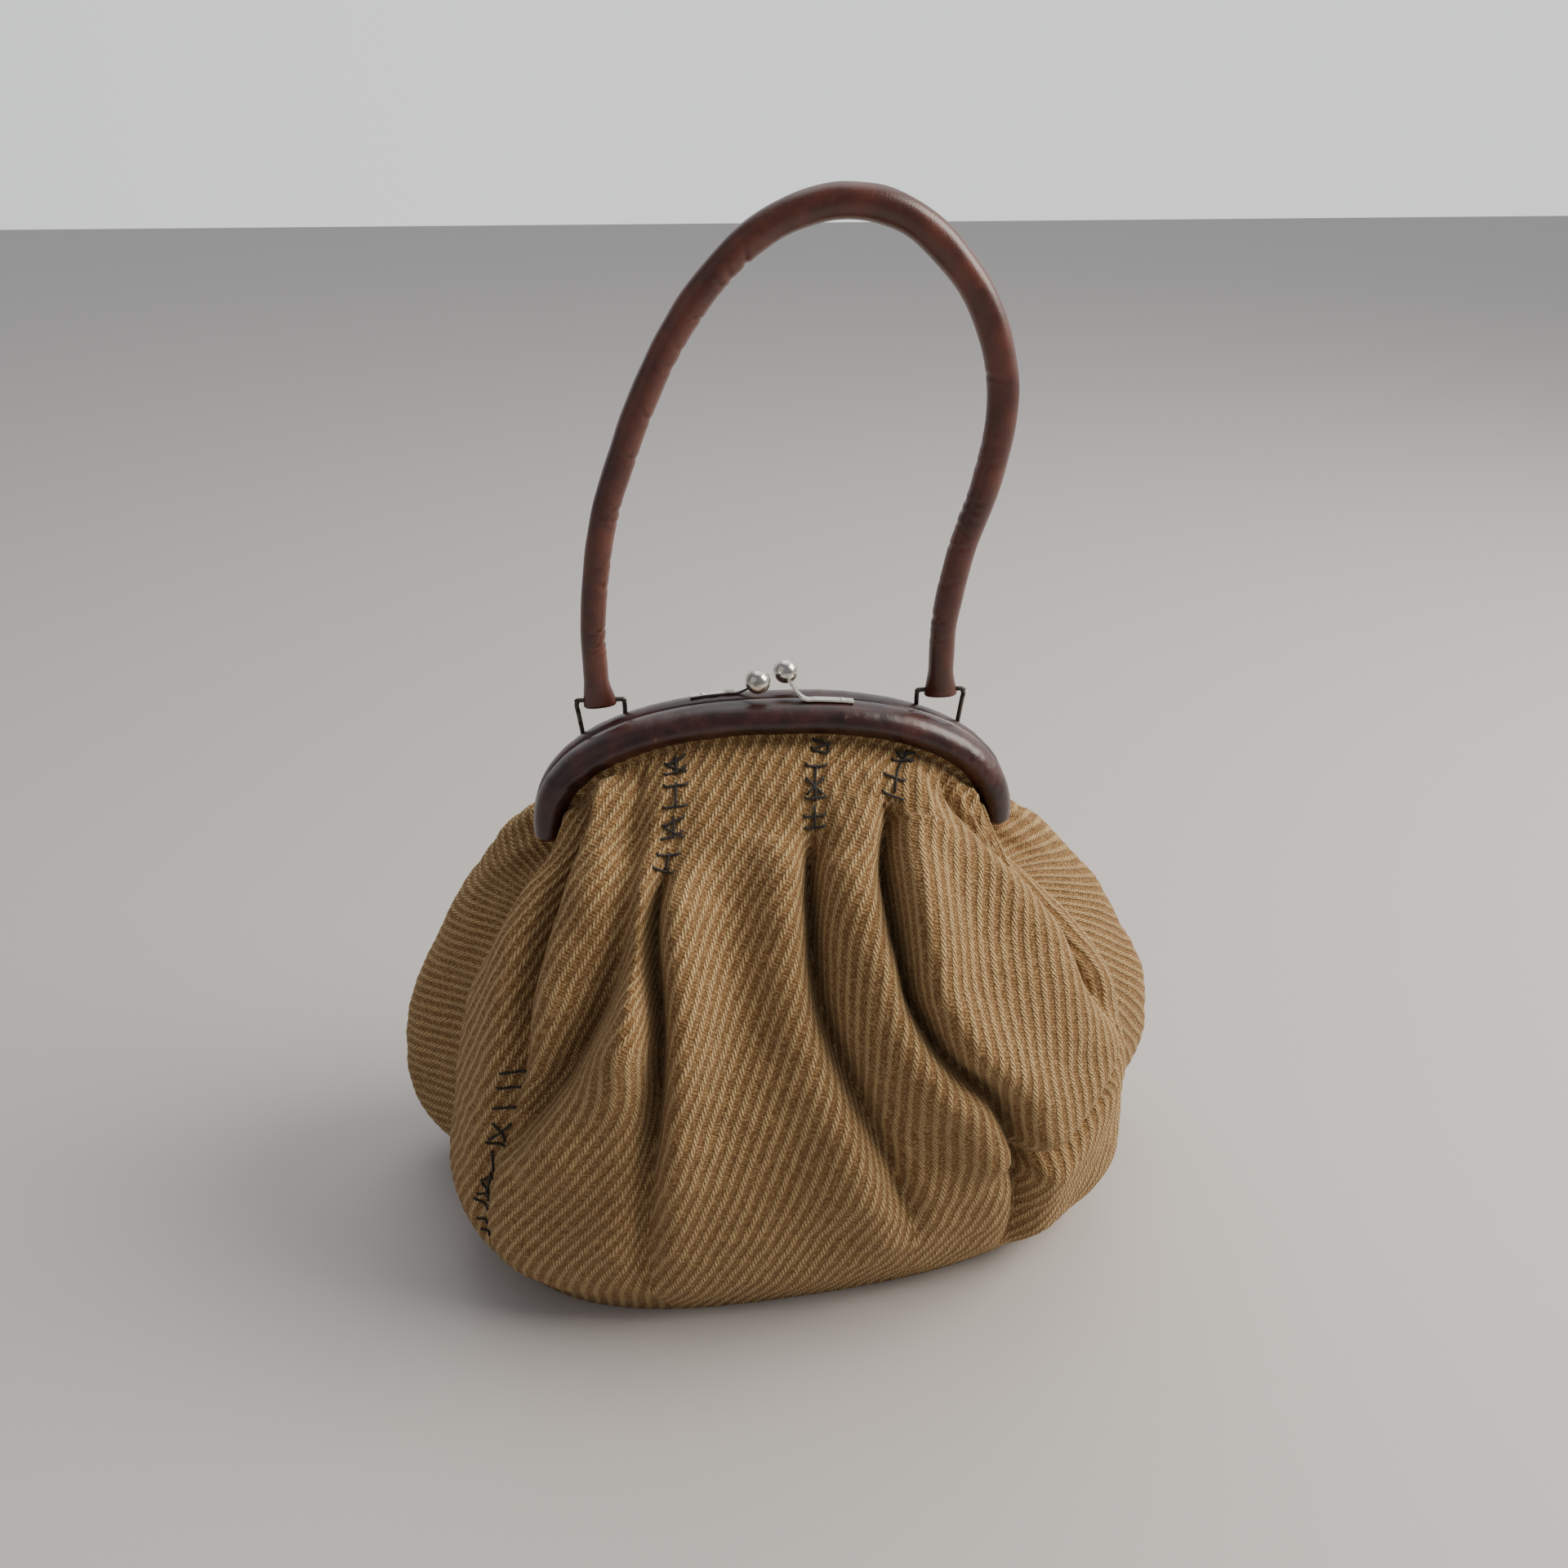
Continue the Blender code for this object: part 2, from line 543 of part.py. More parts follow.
def build_bar(name, side):
    """One leather-covered bar along the arch, with its channel and hinge lugs."""
    rings = []
    for share in np.linspace(0, 1, BAR_STEPS + 1):
        ring = []
        for inset, depth in bar_outline():
            x, z = at_share(arch_curve(inset * BAR_HEIGHT), share)
            ring.append((x, side * (BAR_PARTING / 2 + depth * BAR_DEPTH), z))
        rings.append(ring)
    bar = loft(rings, name, LEATHER)
    for hand, hand_name in ((-1, "left"), (1, "right")):
        boolean(bar, hinge_lug(f"{name}_lug_{hand_name}", side, hand), "UNION")
        hole = cylinder(
            (hand * (FRAME_WIDTH / 2 - BAR_HEIGHT), 0, HINGE_HEIGHT),
            (hand * FRAME_WIDTH / 2, 0, HINGE_HEIGHT),
            PIN_RADIUS + FIT_GAP,
            f"{name}_pin_hole_{hand_name}",
        )
        boolean(bar, hole, "DIFFERENCE")
    return bar


def lug_span(side):
    """Distances from the middle of a lug's two faces: the front bar's lugs lie outside the rear bar's."""
    outer = FRAME_WIDTH / 2 - LUG_INSET
    if side == REAR:
        outer -= LUG_THICKNESS + FIT_GAP
    return outer - LUG_THICKNESS, outer


def hinge_lug(name, side, hand):
    """A flat lug from the bar's end down round the hinge pin."""
    root = FRAME_TOP - ARCH_RISE + LUG_THICKNESS
    outline = [
        (LUG_RADIUS * math.cos(a), HINGE_HEIGHT + LUG_RADIUS * math.sin(a))
        for a in np.linspace(0, 2 * math.pi, 16, endpoint=False)
    ]
    outline += [(side * BAR_DEPTH * share, root) for share in LUG_ROOT]
    bm = bmesh.new()
    for x in lug_span(side):
        for y, z in outline:
            bm.verts.new((hand * x, y, z))
    hull = bmesh.ops.convex_hull(bm, input=bm.verts)
    inside = set(hull["geom_unused"] + hull["geom_interior"])
    bmesh.ops.delete(bm, geom=[g for g in inside if isinstance(g, bmesh.types.BMVert)], context="VERTS")
    return add_object(name, bm)


def build_hinge_pin(name, hand):
    """A rivet through the two lugs of one hinge, with a head on each side."""
    inner = lug_span(REAR)[0] - FIT_GAP
    outer = lug_span(FRONT)[1] + FIT_GAP
    stations = (
        (inner - PIN_HEAD_THICKNESS, PIN_HEAD_RADIUS * 0.8),
        (inner - PIN_HEAD_THICKNESS / 2, PIN_HEAD_RADIUS),
        (inner, PIN_HEAD_RADIUS),
        (inner, PIN_RADIUS),
        (outer, PIN_RADIUS),
        (outer, PIN_HEAD_RADIUS),
        (outer + PIN_HEAD_THICKNESS / 2, PIN_HEAD_RADIUS),
        (outer + PIN_HEAD_THICKNESS, PIN_HEAD_RADIUS * 0.8),
    )
    rings = []
    for x, radius in stations:
        angles = np.linspace(0, 2 * math.pi, 12, endpoint=False)
        rings.append([(hand * x, radius * math.cos(a), HINGE_HEIGHT + radius * math.sin(a)) for a in angles])
    return loft(rings, name, PIN_STEEL)


def build_clasp(name, bar, side, foot, arm, ball):
    """One clasp half: a flat foot along the bar, an arm, a ball, and a tang down into the bar."""
    rest = FIT_GAP + STRIP_THICKNESS / 2
    path = [(x, side * STRIP_LINE, arch_height(x) + rest) for x in foot]
    path += [(x, y, FRAME_TOP + z) for x, y, z in arm]
    path.append((ball[0], ball[1], FRAME_TOP + ball[2]))
    strip = sweep(path, STRIP_WIDTH / 2, STRIP_THICKNESS / 2, 8, name, NICKEL)
    bm = bmesh.new()
    bmesh.ops.create_uvsphere(bm, u_segments=16, v_segments=10, radius=BALL_RADIUS)
    bmesh.ops.translate(bm, verts=bm.verts, vec=path[-1])
    boolean(strip, add_object(f"{name}_ball", bm), "UNION")
    x, y, z = path[1]
    end = z - rest - TANG_LENGTH
    boolean(strip, cylinder((x, y, z), (x, y, end), TANG_RADIUS, f"{name}_tang", 10), "UNION")
    hole = cylinder((x, y, z + rest), (x, y, end - FIT_GAP), TANG_RADIUS + FIT_GAP, f"{name}_tang_hole", 10)
    boolean(bar, hole, "DIFFERENCE")
    return strip


def build_loop(name, bar, hand):
    """A wire loop: two legs in holes of the rear bar and a cross bar through the handle's end."""
    outer_low = arch_height(LOOP_OUTER_FOOT) - LOOP_FOOT_DEPTH
    inner_low = arch_height(LOOP_INNER_FOOT) - LOOP_FOOT_DEPTH
    path = [(hand * LOOP_OUTER_FOOT, LOOP_LINE, outer_low)]
    path += [(hand * x, LOOP_LINE, LOOP_TOP + z) for x, z in LOOP_BEND]
    path.append((hand * LOOP_INNER_FOOT, LOOP_LINE, inner_low))
    dense = at_share(np.array(path), np.linspace(0, 1, LOOP_RINGS))
    loop = sweep(dense, WIRE_RADIUS, WIRE_RADIUS, 8, name, DARK_WIRE)
    for foot, (low, high) in enumerate(((path[0], path[1]), (path[-1], path[-2]))):
        end = (low[0], low[1], low[2] - FIT_GAP)
        hole = cylinder(high, end, WIRE_RADIUS + FIT_GAP, f"{name}_hole_{foot}", 10)
        boolean(bar, hole, "DIFFERENCE")
    return loop


def handle_rings():
    """Centres, half widths and half depths of the handle at points along it."""
    path = np.array([(x * HANDLE_SPAN, LOOP_LINE, HANDLE_BASE + z * HANDLE_RISE) for x, z in HANDLE_PATH])
    tab = TAB_LENGTH / along(path)[-1]
    ends = tab * np.array([0.0, 0.25, 0.5, 0.75])
    shares = np.concatenate([ends, np.linspace(tab, 1 - tab, HANDLE_RINGS - 8), 1 - ends[::-1]])
    swell = np.array(HANDLE_SWELL)
    roll = HANDLE_RADIUS * np.interp(shares, swell[:, 0], swell[:, 1])
    round_part = smooth(np.minimum(shares, 1 - shares) / tab)
    width = TAB_HALF_WIDTH + (roll - TAB_HALF_WIDTH) * round_part
    depth = TAB_HALF_DEPTH + (roll - TAB_HALF_DEPTH) * round_part
    return at_share(path, shares), width, depth


def build_handle():
    """The rolled handle: a leather roll with a flat end folded over each wire loop."""
    path, width, depth = handle_rings()
    handle = sweep(path, depth, width, HANDLE_SIDES, "handle", HANDLE_LEATHER)
    reach = TAB_HALF_WIDTH * 1.5
    for hand, hand_name in ((-1, "left"), (1, "right")):
        middle = hand * HANDLE_SPAN / 2
        bore = cylinder(
            (middle - reach, LOOP_LINE, LOOP_TOP),
            (middle + reach, LOOP_LINE, LOOP_TOP),
            WIRE_RADIUS + FIT_GAP,
            f"handle_bore_{hand_name}",
        )
        boolean(handle, bore, "DIFFERENCE")
    return handle


def main():
    for old in list(bpy.data.objects):
        bpy.data.objects.remove(old, do_unlink=True)
    build_cloth()
    front_bar = build_bar("front_bar", FRONT)
    rear_bar = build_bar("rear_bar", REAR)
    build_hinge_pin("hinge_pin_left", -1)
    build_hinge_pin("hinge_pin_right", 1)
    build_clasp("clasp_front", front_bar, FRONT, FRONT_FOOT, FRONT_ARM, FRONT_BALL)
    build_clasp("clasp_rear", rear_bar, REAR, REAR_FOOT, REAR_ARM, REAR_BALL)
    build_loop("loop_left", rear_bar, -1)
    build_loop("loop_right", rear_bar, 1)
    build_handle()


main()
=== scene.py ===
"""Photo scene of a gathered wool handbag on a leather-covered frame.

This script lays fine cloth with ribs and mending stitches, leather, metal fittings, a
floor and studio light on them.
"""

import logging
import math
from dataclasses import dataclass, field
from enum import Enum
from functools import lru_cache, partial
from typing import Sequence

import bmesh
import bpy
import numpy as np
from bmesh.types import BMesh
from bpy.types import ID, Material, Node, NodeSocket, NodeTree, Object
from mathutils import Matrix, Vector


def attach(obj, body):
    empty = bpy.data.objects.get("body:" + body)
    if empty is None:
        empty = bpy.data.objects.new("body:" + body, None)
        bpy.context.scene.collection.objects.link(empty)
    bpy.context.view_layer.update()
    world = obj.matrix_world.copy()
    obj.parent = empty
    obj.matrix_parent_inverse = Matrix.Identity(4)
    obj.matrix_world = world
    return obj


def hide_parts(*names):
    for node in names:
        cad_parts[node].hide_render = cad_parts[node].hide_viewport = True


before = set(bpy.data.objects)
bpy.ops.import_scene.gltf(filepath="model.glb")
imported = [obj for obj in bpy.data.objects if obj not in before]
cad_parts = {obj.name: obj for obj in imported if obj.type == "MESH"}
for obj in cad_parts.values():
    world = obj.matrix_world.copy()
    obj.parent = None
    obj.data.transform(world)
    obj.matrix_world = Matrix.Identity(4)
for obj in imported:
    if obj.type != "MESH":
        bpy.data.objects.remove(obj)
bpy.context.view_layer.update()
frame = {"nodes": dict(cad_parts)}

LOG = logging.getLogger("handbag")

Array = np.ndarray


class Side(Enum):
    """The two cloth panels, by the sign of their Y."""

    FRONT = -1
    REAR = 1


# Shape helpers


def along(points: Array) -> Array:
    """Distance from the first point to each point of a polyline."""
    steps = np.linalg.norm(np.diff(points, axis=0), axis=1)
    return np.concatenate([[0], np.cumsum(steps)])


def unit(vectors: Array) -> Array:
    """The vectors with their lengths made 1."""
    return vectors / np.linalg.norm(vectors, axis=-1, keepdims=True)


def at_share(points: Array, share: Array) -> Array:
    """The polyline's points at shares of its length."""
    length = along(points)
    want = np.asarray(share) * length[-1]
    return np.stack([np.interp(want, length, points[:, k]) for k in range(points.shape[1])], -1)


def smooth(t: Array) -> Array:
    """Smoothstep from 0 to 1."""
    t = np.clip(t, 0, 1)
    return t * t * (3 - 2 * t)


def spline(rows: Sequence[Array], level: float) -> Array:
    """Catmull-Rom interpolation between rows of points, at a level counted in rows."""
    last = len(rows) - 1
    i = int(min(max(math.floor(level), 0), last - 1))
    t = level - i
    a = rows[i - 1] if i > 0 else 2 * rows[0] - rows[1]
    b, c = rows[i], rows[i + 1]
    d = rows[i + 2] if i + 2 <= last else 2 * rows[last] - rows[last - 1]
    return 0.5 * (2 * b + (c - a) * t + (2 * a - 5 * b + 4 * c - d) * t**2 + (3 * b - a - 3 * c + d) * t**3)


def smooth_path(points: Sequence[Sequence[float]], count: int) -> Array:
    """A smooth curve through points, resampled to count points at equal steps."""
    rows = [np.array(p, float) for p in points]
    dense = np.array([spline(rows, v) for v in np.linspace(0, len(rows) - 1, 12 * len(rows))])
    return at_share(dense, np.linspace(0, 1, count))


@lru_cache(maxsize=None)
def superellipse(half_width: float, depth: float, roundness: float, base: float = 0.0) -> Array:
    """Half a superellipse from -half_width to half_width, as evenly spaced points."""
    angle = np.linspace(0, math.pi, 600)
    power = 2 / roundness
    x = -half_width * np.sign(np.cos(angle)) * np.abs(np.cos(angle)) ** power
    y = base + depth * np.abs(np.sin(angle)) ** power
    return at_share(np.stack([x, y], 1), np.linspace(0, 1, 600))


@lru_cache(maxsize=None)
def noise_waves(seed: int, count: int, longest: float, shortest: float) -> tuple[Array, Array]:
    """Directions in radians per metre, and phases, of a set of random plane waves."""
    rng = np.random.default_rng(seed)
    turns = unit(rng.normal(size=(count, 3)))
    lengths = np.exp(rng.uniform(np.log(shortest), np.log(longest), count))
    return turns * (2 * math.pi / lengths)[:, None], rng.uniform(0, 2 * math.pi, count)


def waves(points: Array, seed: int, count: int, longest: float, shortest: float) -> Array:
    """Smooth random values from about -1 to 1 at points in space."""
    turns, phases = noise_waves(seed, count, longest, shortest)
    return np.sin(points @ turns.T + phases).sum(-1) / math.sqrt(count)


# Materials


def linear(code: str) -> tuple[float, float, float, float]:
    """A hex sRGB colour as linear values with alpha 1."""
    parts = [int(code[i : i + 2], 16) / 255 for i in (1, 3, 5)]
    values = [c / 12.92 if c <= 0.04045 else ((c + 0.055) / 1.055) ** 2.4 for c in parts]
    return (*values, 1.0)


class Step(Enum):
    """What a shader node does: its type, its settings, the inputs that are given and the output."""

    PLUS = ("Math", {"operation": "ADD"}, (0, 1), 0)
    MINUS = ("Math", {"operation": "SUBTRACT"}, (0, 1), 0)
    TIMES = ("Math", {"operation": "MULTIPLY"}, (0, 1), 0)
    TIMES_TO_ONE = ("Math", {"operation": "MULTIPLY", "use_clamp": True}, (0, 1), 0)
    TIMES_PLUS = ("Math", {"operation": "MULTIPLY_ADD"}, (0, 1, 2), 0)
    FRACTION = ("Math", {"operation": "FRACT"}, (0,), 0)
    SIZE = ("Math", {"operation": "ABSOLUTE"}, (0,), 0)
    BAND = ("MapRange", {"interpolation_type": "SMOOTHSTEP"}, ("Value", "From Min", "From Max"), 0)
    BLEND = ("Mix", {"data_type": "RGBA"}, (0, 6, 7), 2)
    NOISE = ("TexNoise", {}, ("Vector", "Scale", "Detail", "Roughness"), "Fac")
    CELLS = ("TexVoronoi", {}, ("Vector", "Scale"), "Distance")
    BUMP = ("Bump", {}, ("Height", "Distance", "Strength"), 0)
    LAY = ("UVMap", {"uv_map": "cloth"}, (), 0)
    PLACE = ("TexCoord", {}, (), "Object")
    DIRECTION = ("TexCoord", {}, (), "Generated")
    FIRST = ("SeparateXYZ", {}, (0,), 0)
    SECOND = ("SeparateXYZ", {}, (0,), 1)


def set_inputs(tree: NodeTree, node: Node, values: dict) -> None:
    """Set a node's inputs, by name or number, to numbers, hex colours or another node's output."""
    for slot, value in values.items():
        if isinstance(value, NodeSocket):
            tree.links.new(value, node.inputs[slot])
        else:
            node.inputs[slot].default_value = linear(value) if isinstance(value, str) else value


def add_node(tree: NodeTree, step: Step, *values) -> NodeSocket:
    """Add a shader node with its settings and inputs.

    Args:
        tree: The node tree of a material or the world.
        step: What the node does.
        values: Its inputs, as numbers, hex colours or outputs of other nodes.

    Returns:
        The node's output.
    """
    kind, settings, slots, output = step.value
    node = tree.nodes.new("ShaderNode" + kind)
    for name, value in settings.items():
        setattr(node, name, value)
    set_inputs(tree, node, dict(zip(slots, values)))
    return node.outputs[output]


def principled(name: str) -> tuple[Material, NodeTree, Node]:
    """A new material with its tree and main shader."""
    made = bpy.data.materials.new(name)
    made.use_nodes = True
    tree = made.node_tree
    return made, tree, tree.nodes["Principled BSDF"]


@dataclass(frozen=True)
class WoolFinish:
    """Colours of the ribbed wool, its relief in metres and its strokes per rib pitch."""

    valley: str = "#6c4b2b"
    rib: str = "#a3804f"
    stroke: str = "#e4c793"
    gap: str = "#745334"
    fuzz: str = "#c9a876"
    shade: str = "#4a2f17"
    sheen: str = "#d9bf99"
    rib_height: float = 0.00045
    stroke_height: float = 0.00045
    ground_height: float = 0.00018
    fibre_height: float = 0.00018
    fuzz_height: float = 0.00022
    strokes_along: float = 2.1
    strokes_across: float = 3.0
    ground_along: float = 3.57
    wander: float = 0.20


def wool_material(finish: WoolFinish) -> Material:
    """Ribbed brushed wool: slanted twill strokes on narrow raised ribs, darker valleys, fuzzy nap."""
    made, tree, shader = principled("camel ribbed wool")
    add = partial(add_node, tree)
    lay, place = add(Step.LAY), add(Step.PLACE)
    # In cells per metre: wobble 4 mm, patches 45 mm, uneven dye 3 mm, nap 1 mm and fibres 0.4 mm,
    # which are coarser than real ones so that they show.
    wobble = add(Step.NOISE, place, 260.0, 2.0, 0.5)
    broad = add(Step.NOISE, place, 22.0, 3.0, 0.5)
    uneven = add(Step.NOISE, place, 300.0, 3.0, 0.6)
    fuzz = add(Step.NOISE, place, 900.0, 3.0, 0.6)
    fibre = add(Step.NOISE, place, 2600.0, 4.0, 0.7)
    across = add(Step.TIMES_PLUS, wobble, finish.wander, add(Step.FIRST, lay))
    run = add(Step.SECOND, lay)
    in_rib = add(Step.MINUS, add(Step.FRACTION, across), 0.5)
    rib = add(Step.MINUS, 1.0, add(Step.BAND, add(Step.SIZE, in_rib), 0.07, 0.33))
    on_rib = add(Step.BAND, rib, 0.15, 0.75)
    slant = add(Step.TIMES, in_rib, finish.strokes_across)
    beat = add(Step.FRACTION, add(Step.TIMES_PLUS, run, finish.strokes_along, slant))
    ripple = add(Step.SIZE, add(Step.MINUS, beat, 0.5))
    stroke = add(Step.TIMES, add(Step.MINUS, 1.0, add(Step.BAND, ripple, 0.12, 0.40)), on_rib)
    ground_beat = add(Step.FRACTION, add(Step.TIMES, run, finish.ground_along))
    ground = add(Step.BAND, add(Step.SIZE, add(Step.MINUS, ground_beat, 0.5)), 0.1, 0.5)
    sunk = add(Step.MINUS, 1.0, add(Step.BAND, fuzz, 0.32, 0.50))
    base = add(Step.BLEND, rib, finish.valley, finish.rib)
    for share, colour in (
        (add(Step.TIMES, add(Step.MINUS, on_rib, stroke), 0.80), finish.gap),
        (add(Step.TIMES_TO_ONE, stroke, add(Step.PLUS, 0.30, uneven)), finish.stroke),
        (add(Step.TIMES, add(Step.BAND, fibre, 0.42, 0.66), 0.30), finish.fuzz),
        (add(Step.TIMES, add(Step.BAND, fuzz, 0.46, 0.66), 0.45), finish.fuzz),
        (add(Step.TIMES, sunk, 0.45), finish.shade),
        (add(Step.TIMES, add(Step.BAND, broad, 0.35, 0.75), 0.20), finish.valley),
    ):
        base = add(Step.BLEND, share, base, colour)
    height = add(Step.TIMES, rib, finish.rib_height)
    for pattern, relief in (
        (stroke, finish.stroke_height),
        (ground, finish.ground_height),
        (fibre, finish.fibre_height),
        (fuzz, finish.fuzz_height),
    ):
        height = add(Step.TIMES_PLUS, pattern, relief, height)
    values = {"Base Color": base, "Roughness": 0.95, "Specular IOR Level": 0.15}
    values |= {"Sheen Weight": 0.35, "Sheen Roughness": 0.55, "Sheen Tint": finish.sheen}
    set_inputs(tree, shader, values | {"Normal": add(Step.BUMP, height, 1.0, 1.0)})
    return made


@dataclass(frozen=True)
class LeatherFinish:
    """A leather's name, colours, gloss, how much it is scuffed, and its grain in metres."""

    name: str
    deep: str
    bright: str
    scuff: str
    roughness: float
    scuffing: float
    grain: float = 0.00005
    coat: float = 0.25
    coat_roughness: float = 0.22


def leather_material(finish: LeatherFinish) -> Material:
    """Polished leather with fine grain, darker and redder patches and rubbed scuffs."""
    made, tree, shader = principled(finish.name)
    add = partial(add_node, tree)
    place = add(Step.PLACE)
    # In cells per metre: patches 18 mm, streaks 4 mm, and grain of 0.7 to 0.9 mm, coarser than real
    # grain so that it shows.
    broad = add(Step.NOISE, place, 55.0, 4.0, 0.6)
    fine = add(Step.NOISE, place, 1500.0, 3.0, 0.6)
    streak = add(Step.NOISE, place, 240.0, 5.0, 0.75)
    cells = add(Step.CELLS, place, 1100.0)
    base = add(Step.BLEND, add(Step.BAND, broad, 0.35, 0.68), finish.deep, finish.bright)
    rubbed = add(Step.BAND, streak, 0.66 - 0.10 * finish.scuffing, 0.76)
    worn = add(Step.TIMES, rubbed, add(Step.BAND, broad, 0.42, 0.62))
    base = add(Step.BLEND, add(Step.TIMES, worn, finish.scuffing), base, finish.scuff)
    rough = add(Step.TIMES_PLUS, broad, 0.16, finish.roughness)
    height = add(Step.TIMES, cells, finish.grain)
    height = add(Step.TIMES_PLUS, fine, finish.grain, height)
    height = add(Step.TIMES_PLUS, streak, finish.grain * 2, height)
    values = {"Base Color": base, "Roughness": add(Step.TIMES_PLUS, worn, 0.25, rough)}
    values |= {"Coat Weight": finish.coat, "Coat Roughness": finish.coat_roughness}
    set_inputs(tree, shader, values | {"Normal": add(Step.BUMP, height, 1.0, 0.8)})
    return made


def metal_material(name: str, bright: str, dull: str, roughness: float) -> Material:
    """Aged metal with tarnished patches and fine scratches."""
    made, tree, shader = principled(name)
    add = partial(add_node, tree)
    place = add(Step.PLACE)
    # In cells per metre: tarnish spots 6 mm, and scratches 0.6 mm, coarser than real ones.
    scratches = add(Step.NOISE, place, 1800.0, 3.0, 0.6)
    tarnish = add(Step.BAND, add(Step.NOISE, place, 180.0, 4.0, 0.6), 0.50, 0.72)
    values = {"Base Color": add(Step.BLEND, tarnish, bright, dull), "Metallic": 1.0}
    values |= {"Roughness": add(Step.TIMES_PLUS, tarnish, 0.18, roughness)}
    set_inputs(tree, shader, values | {"Normal": add(Step.BUMP, scratches, 0.00003, 0.5)})
    return made


def thread_material() -> Material:
    """Dark charcoal mending thread."""
    made, tree, shader = principled("charcoal mending thread")
    add = partial(add_node, tree)
    patches = add(Step.NOISE, add(Step.PLACE), 1400.0, 3.0, 0.5)
    base = add(Step.BLEND, patches, "#1d1b1c", "#3a3634")
    set_inputs(tree, shader, {"Base Color": base, "Roughness": 0.85})
    return made


# Building meshes


def add_object(name: str, data: ID) -> Object:
    """A new object in the scene for a mesh, a light or a camera."""
    made = bpy.data.objects.new(name, data)
    bpy.context.scene.collection.objects.link(made)
    return made


def finish_object(name: str, bm: BMesh, material: Material) -> Object:
    """Turn a bmesh into a smooth-shaded object with one material."""
    mesh = bpy.data.meshes.new(name)
    bm.to_mesh(mesh)
    bm.free()
    mesh.materials.append(material)
    mesh.polygons.foreach_set("use_smooth", [True] * len(mesh.polygons))
    LOG.info("%s: %d faces", name, len(mesh.polygons))
    return add_object(name, mesh)


def grid_bmesh(points: Array) -> tuple[BMesh, Array]:
    """A quad grid laid on rows of points.

    Args:
        points: Array of rows, columns and 3 coordinates.

    Returns:
        The bmesh, and the (row, column) of each of its vertices.
    """
    rows, columns = points.shape[:2]
    bm = bmesh.new()
    bmesh.ops.create_grid(bm, x_segments=columns - 1, y_segments=rows - 1, size=0.5)
    flat = np.array([v.co[:2] for v in bm.verts])
    cell = np.rint((flat + 0.5) * [columns - 1, rows - 1]).astype(int)
    for vert, (column, row) in zip(bm.verts, cell):
        vert.co = points[row, column]
    return bm, cell[:, ::-1]


def add_tube(bm: BMesh, rings: Array) -> None:
    """Add a closed tube through rings of points to a bmesh, with its join welded and its ends filled."""
    tube, _ = grid_bmesh(np.concatenate([rings, rings[:, :1]], axis=1))
    bmesh.ops.remove_doubles(tube, verts=tube.verts, dist=1e-7)
    bmesh.ops.holes_fill(tube, edges=[e for e in tube.edges if e.is_boundary], sides=0)
    bmesh.ops.recalc_face_normals(tube, faces=tube.faces)
    mesh = bpy.data.meshes.new("tube")
    tube.to_mesh(mesh)
    tube.free()
    bm.from_mesh(mesh)
    bpy.data.meshes.remove(mesh)


def tube_object(name: str, rings: Array, material: Material) -> Object:
    """A closed tube through rings of points, as an object of its own."""
    bm = bmesh.new()
    add_tube(bm, rings)
    return finish_object(name, bm, material)


@dataclass(frozen=True)
class TubeSection:
    """A tube's superelliptic section: its half sizes along and across a direction, and its points."""

    half_along: Array | float
    half_across: Array | float
    sides: int
    squareness: float = 2.0

    def rings(self, path: Array, direction: Sequence[float]) -> Array:
        """Rings of points square to a path, their first half size nearest to the direction."""
        tangents = unit(np.gradient(path, axis=0))
        towards = np.array(direction, float)
        first = unit(towards - tangents * (tangents @ towards)[:, None])
        second = np.cross(first, tangents)
        angle = np.linspace(0, 2 * math.pi, self.sides, endpoint=False)
        rings = path[:, None]
        for way, half, turn in (
            (first, self.half_along, np.cos(angle)),
            (second, self.half_across, np.sin(angle)),
        ):
            reach = np.sign(turn) * np.abs(turn) ** (2 / self.squareness)
            size = np.broadcast_to(half, len(path))[:, None, None]
            rings = rings + way[:, None] * reach[None, :, None] * size
        return rings


# Cloth


@dataclass(frozen=True)
class FrameSize:
    """Sizes of the arch frame, in metres."""

    width: float = 0.196
    top: float = 0.252
    rise: float = 0.054
    roundness: float = 2.3
    bar_height: float = 0.0125
    bar_depth: float = 0.0125
    parting: float = 0.0006

    def arch(self, inset: float) -> Array:
        """The arch (x, z) at a distance inside the bars' outer edge."""
        return superellipse(self.width / 2 - inset, self.rise - inset, self.roundness, self.top - self.rise)

    def height(self, x: float) -> float:
        """Height of the bars' outer edge at a distance from the middle."""
        share = min(abs(x) / (self.width / 2), 1)
        return self.top - self.rise * (1 - (1 - share**self.roundness) ** (1 / self.roundness))

    @property
    def channel_line(self) -> float:
        """Distance in Y of the cloth's channel from the parting."""
        return self.parting / 2 + self.bar_depth / 2


@dataclass(frozen=True)
class Section:
    """One level of the bag, in shares of the half width, half depth and height."""

    height: float
    front_width: float
    rear_width: float
    seam_width: float
    front_depth: float
    rear_depth: float
    roundness: float
    crown: float
    sway: float
    skew: float


@dataclass(frozen=True)
class Crease:
    """A crease or, with a negative depth, a ridge, as (share, level, strength) from the frame down."""

    side: Side
    path: tuple[tuple[float, float, float], ...]
    depth: float
    width: float
    left_roll: float = 0.0
    right_roll: float = 0.0
    gather: float = 0.0
    slit: float = 0.45


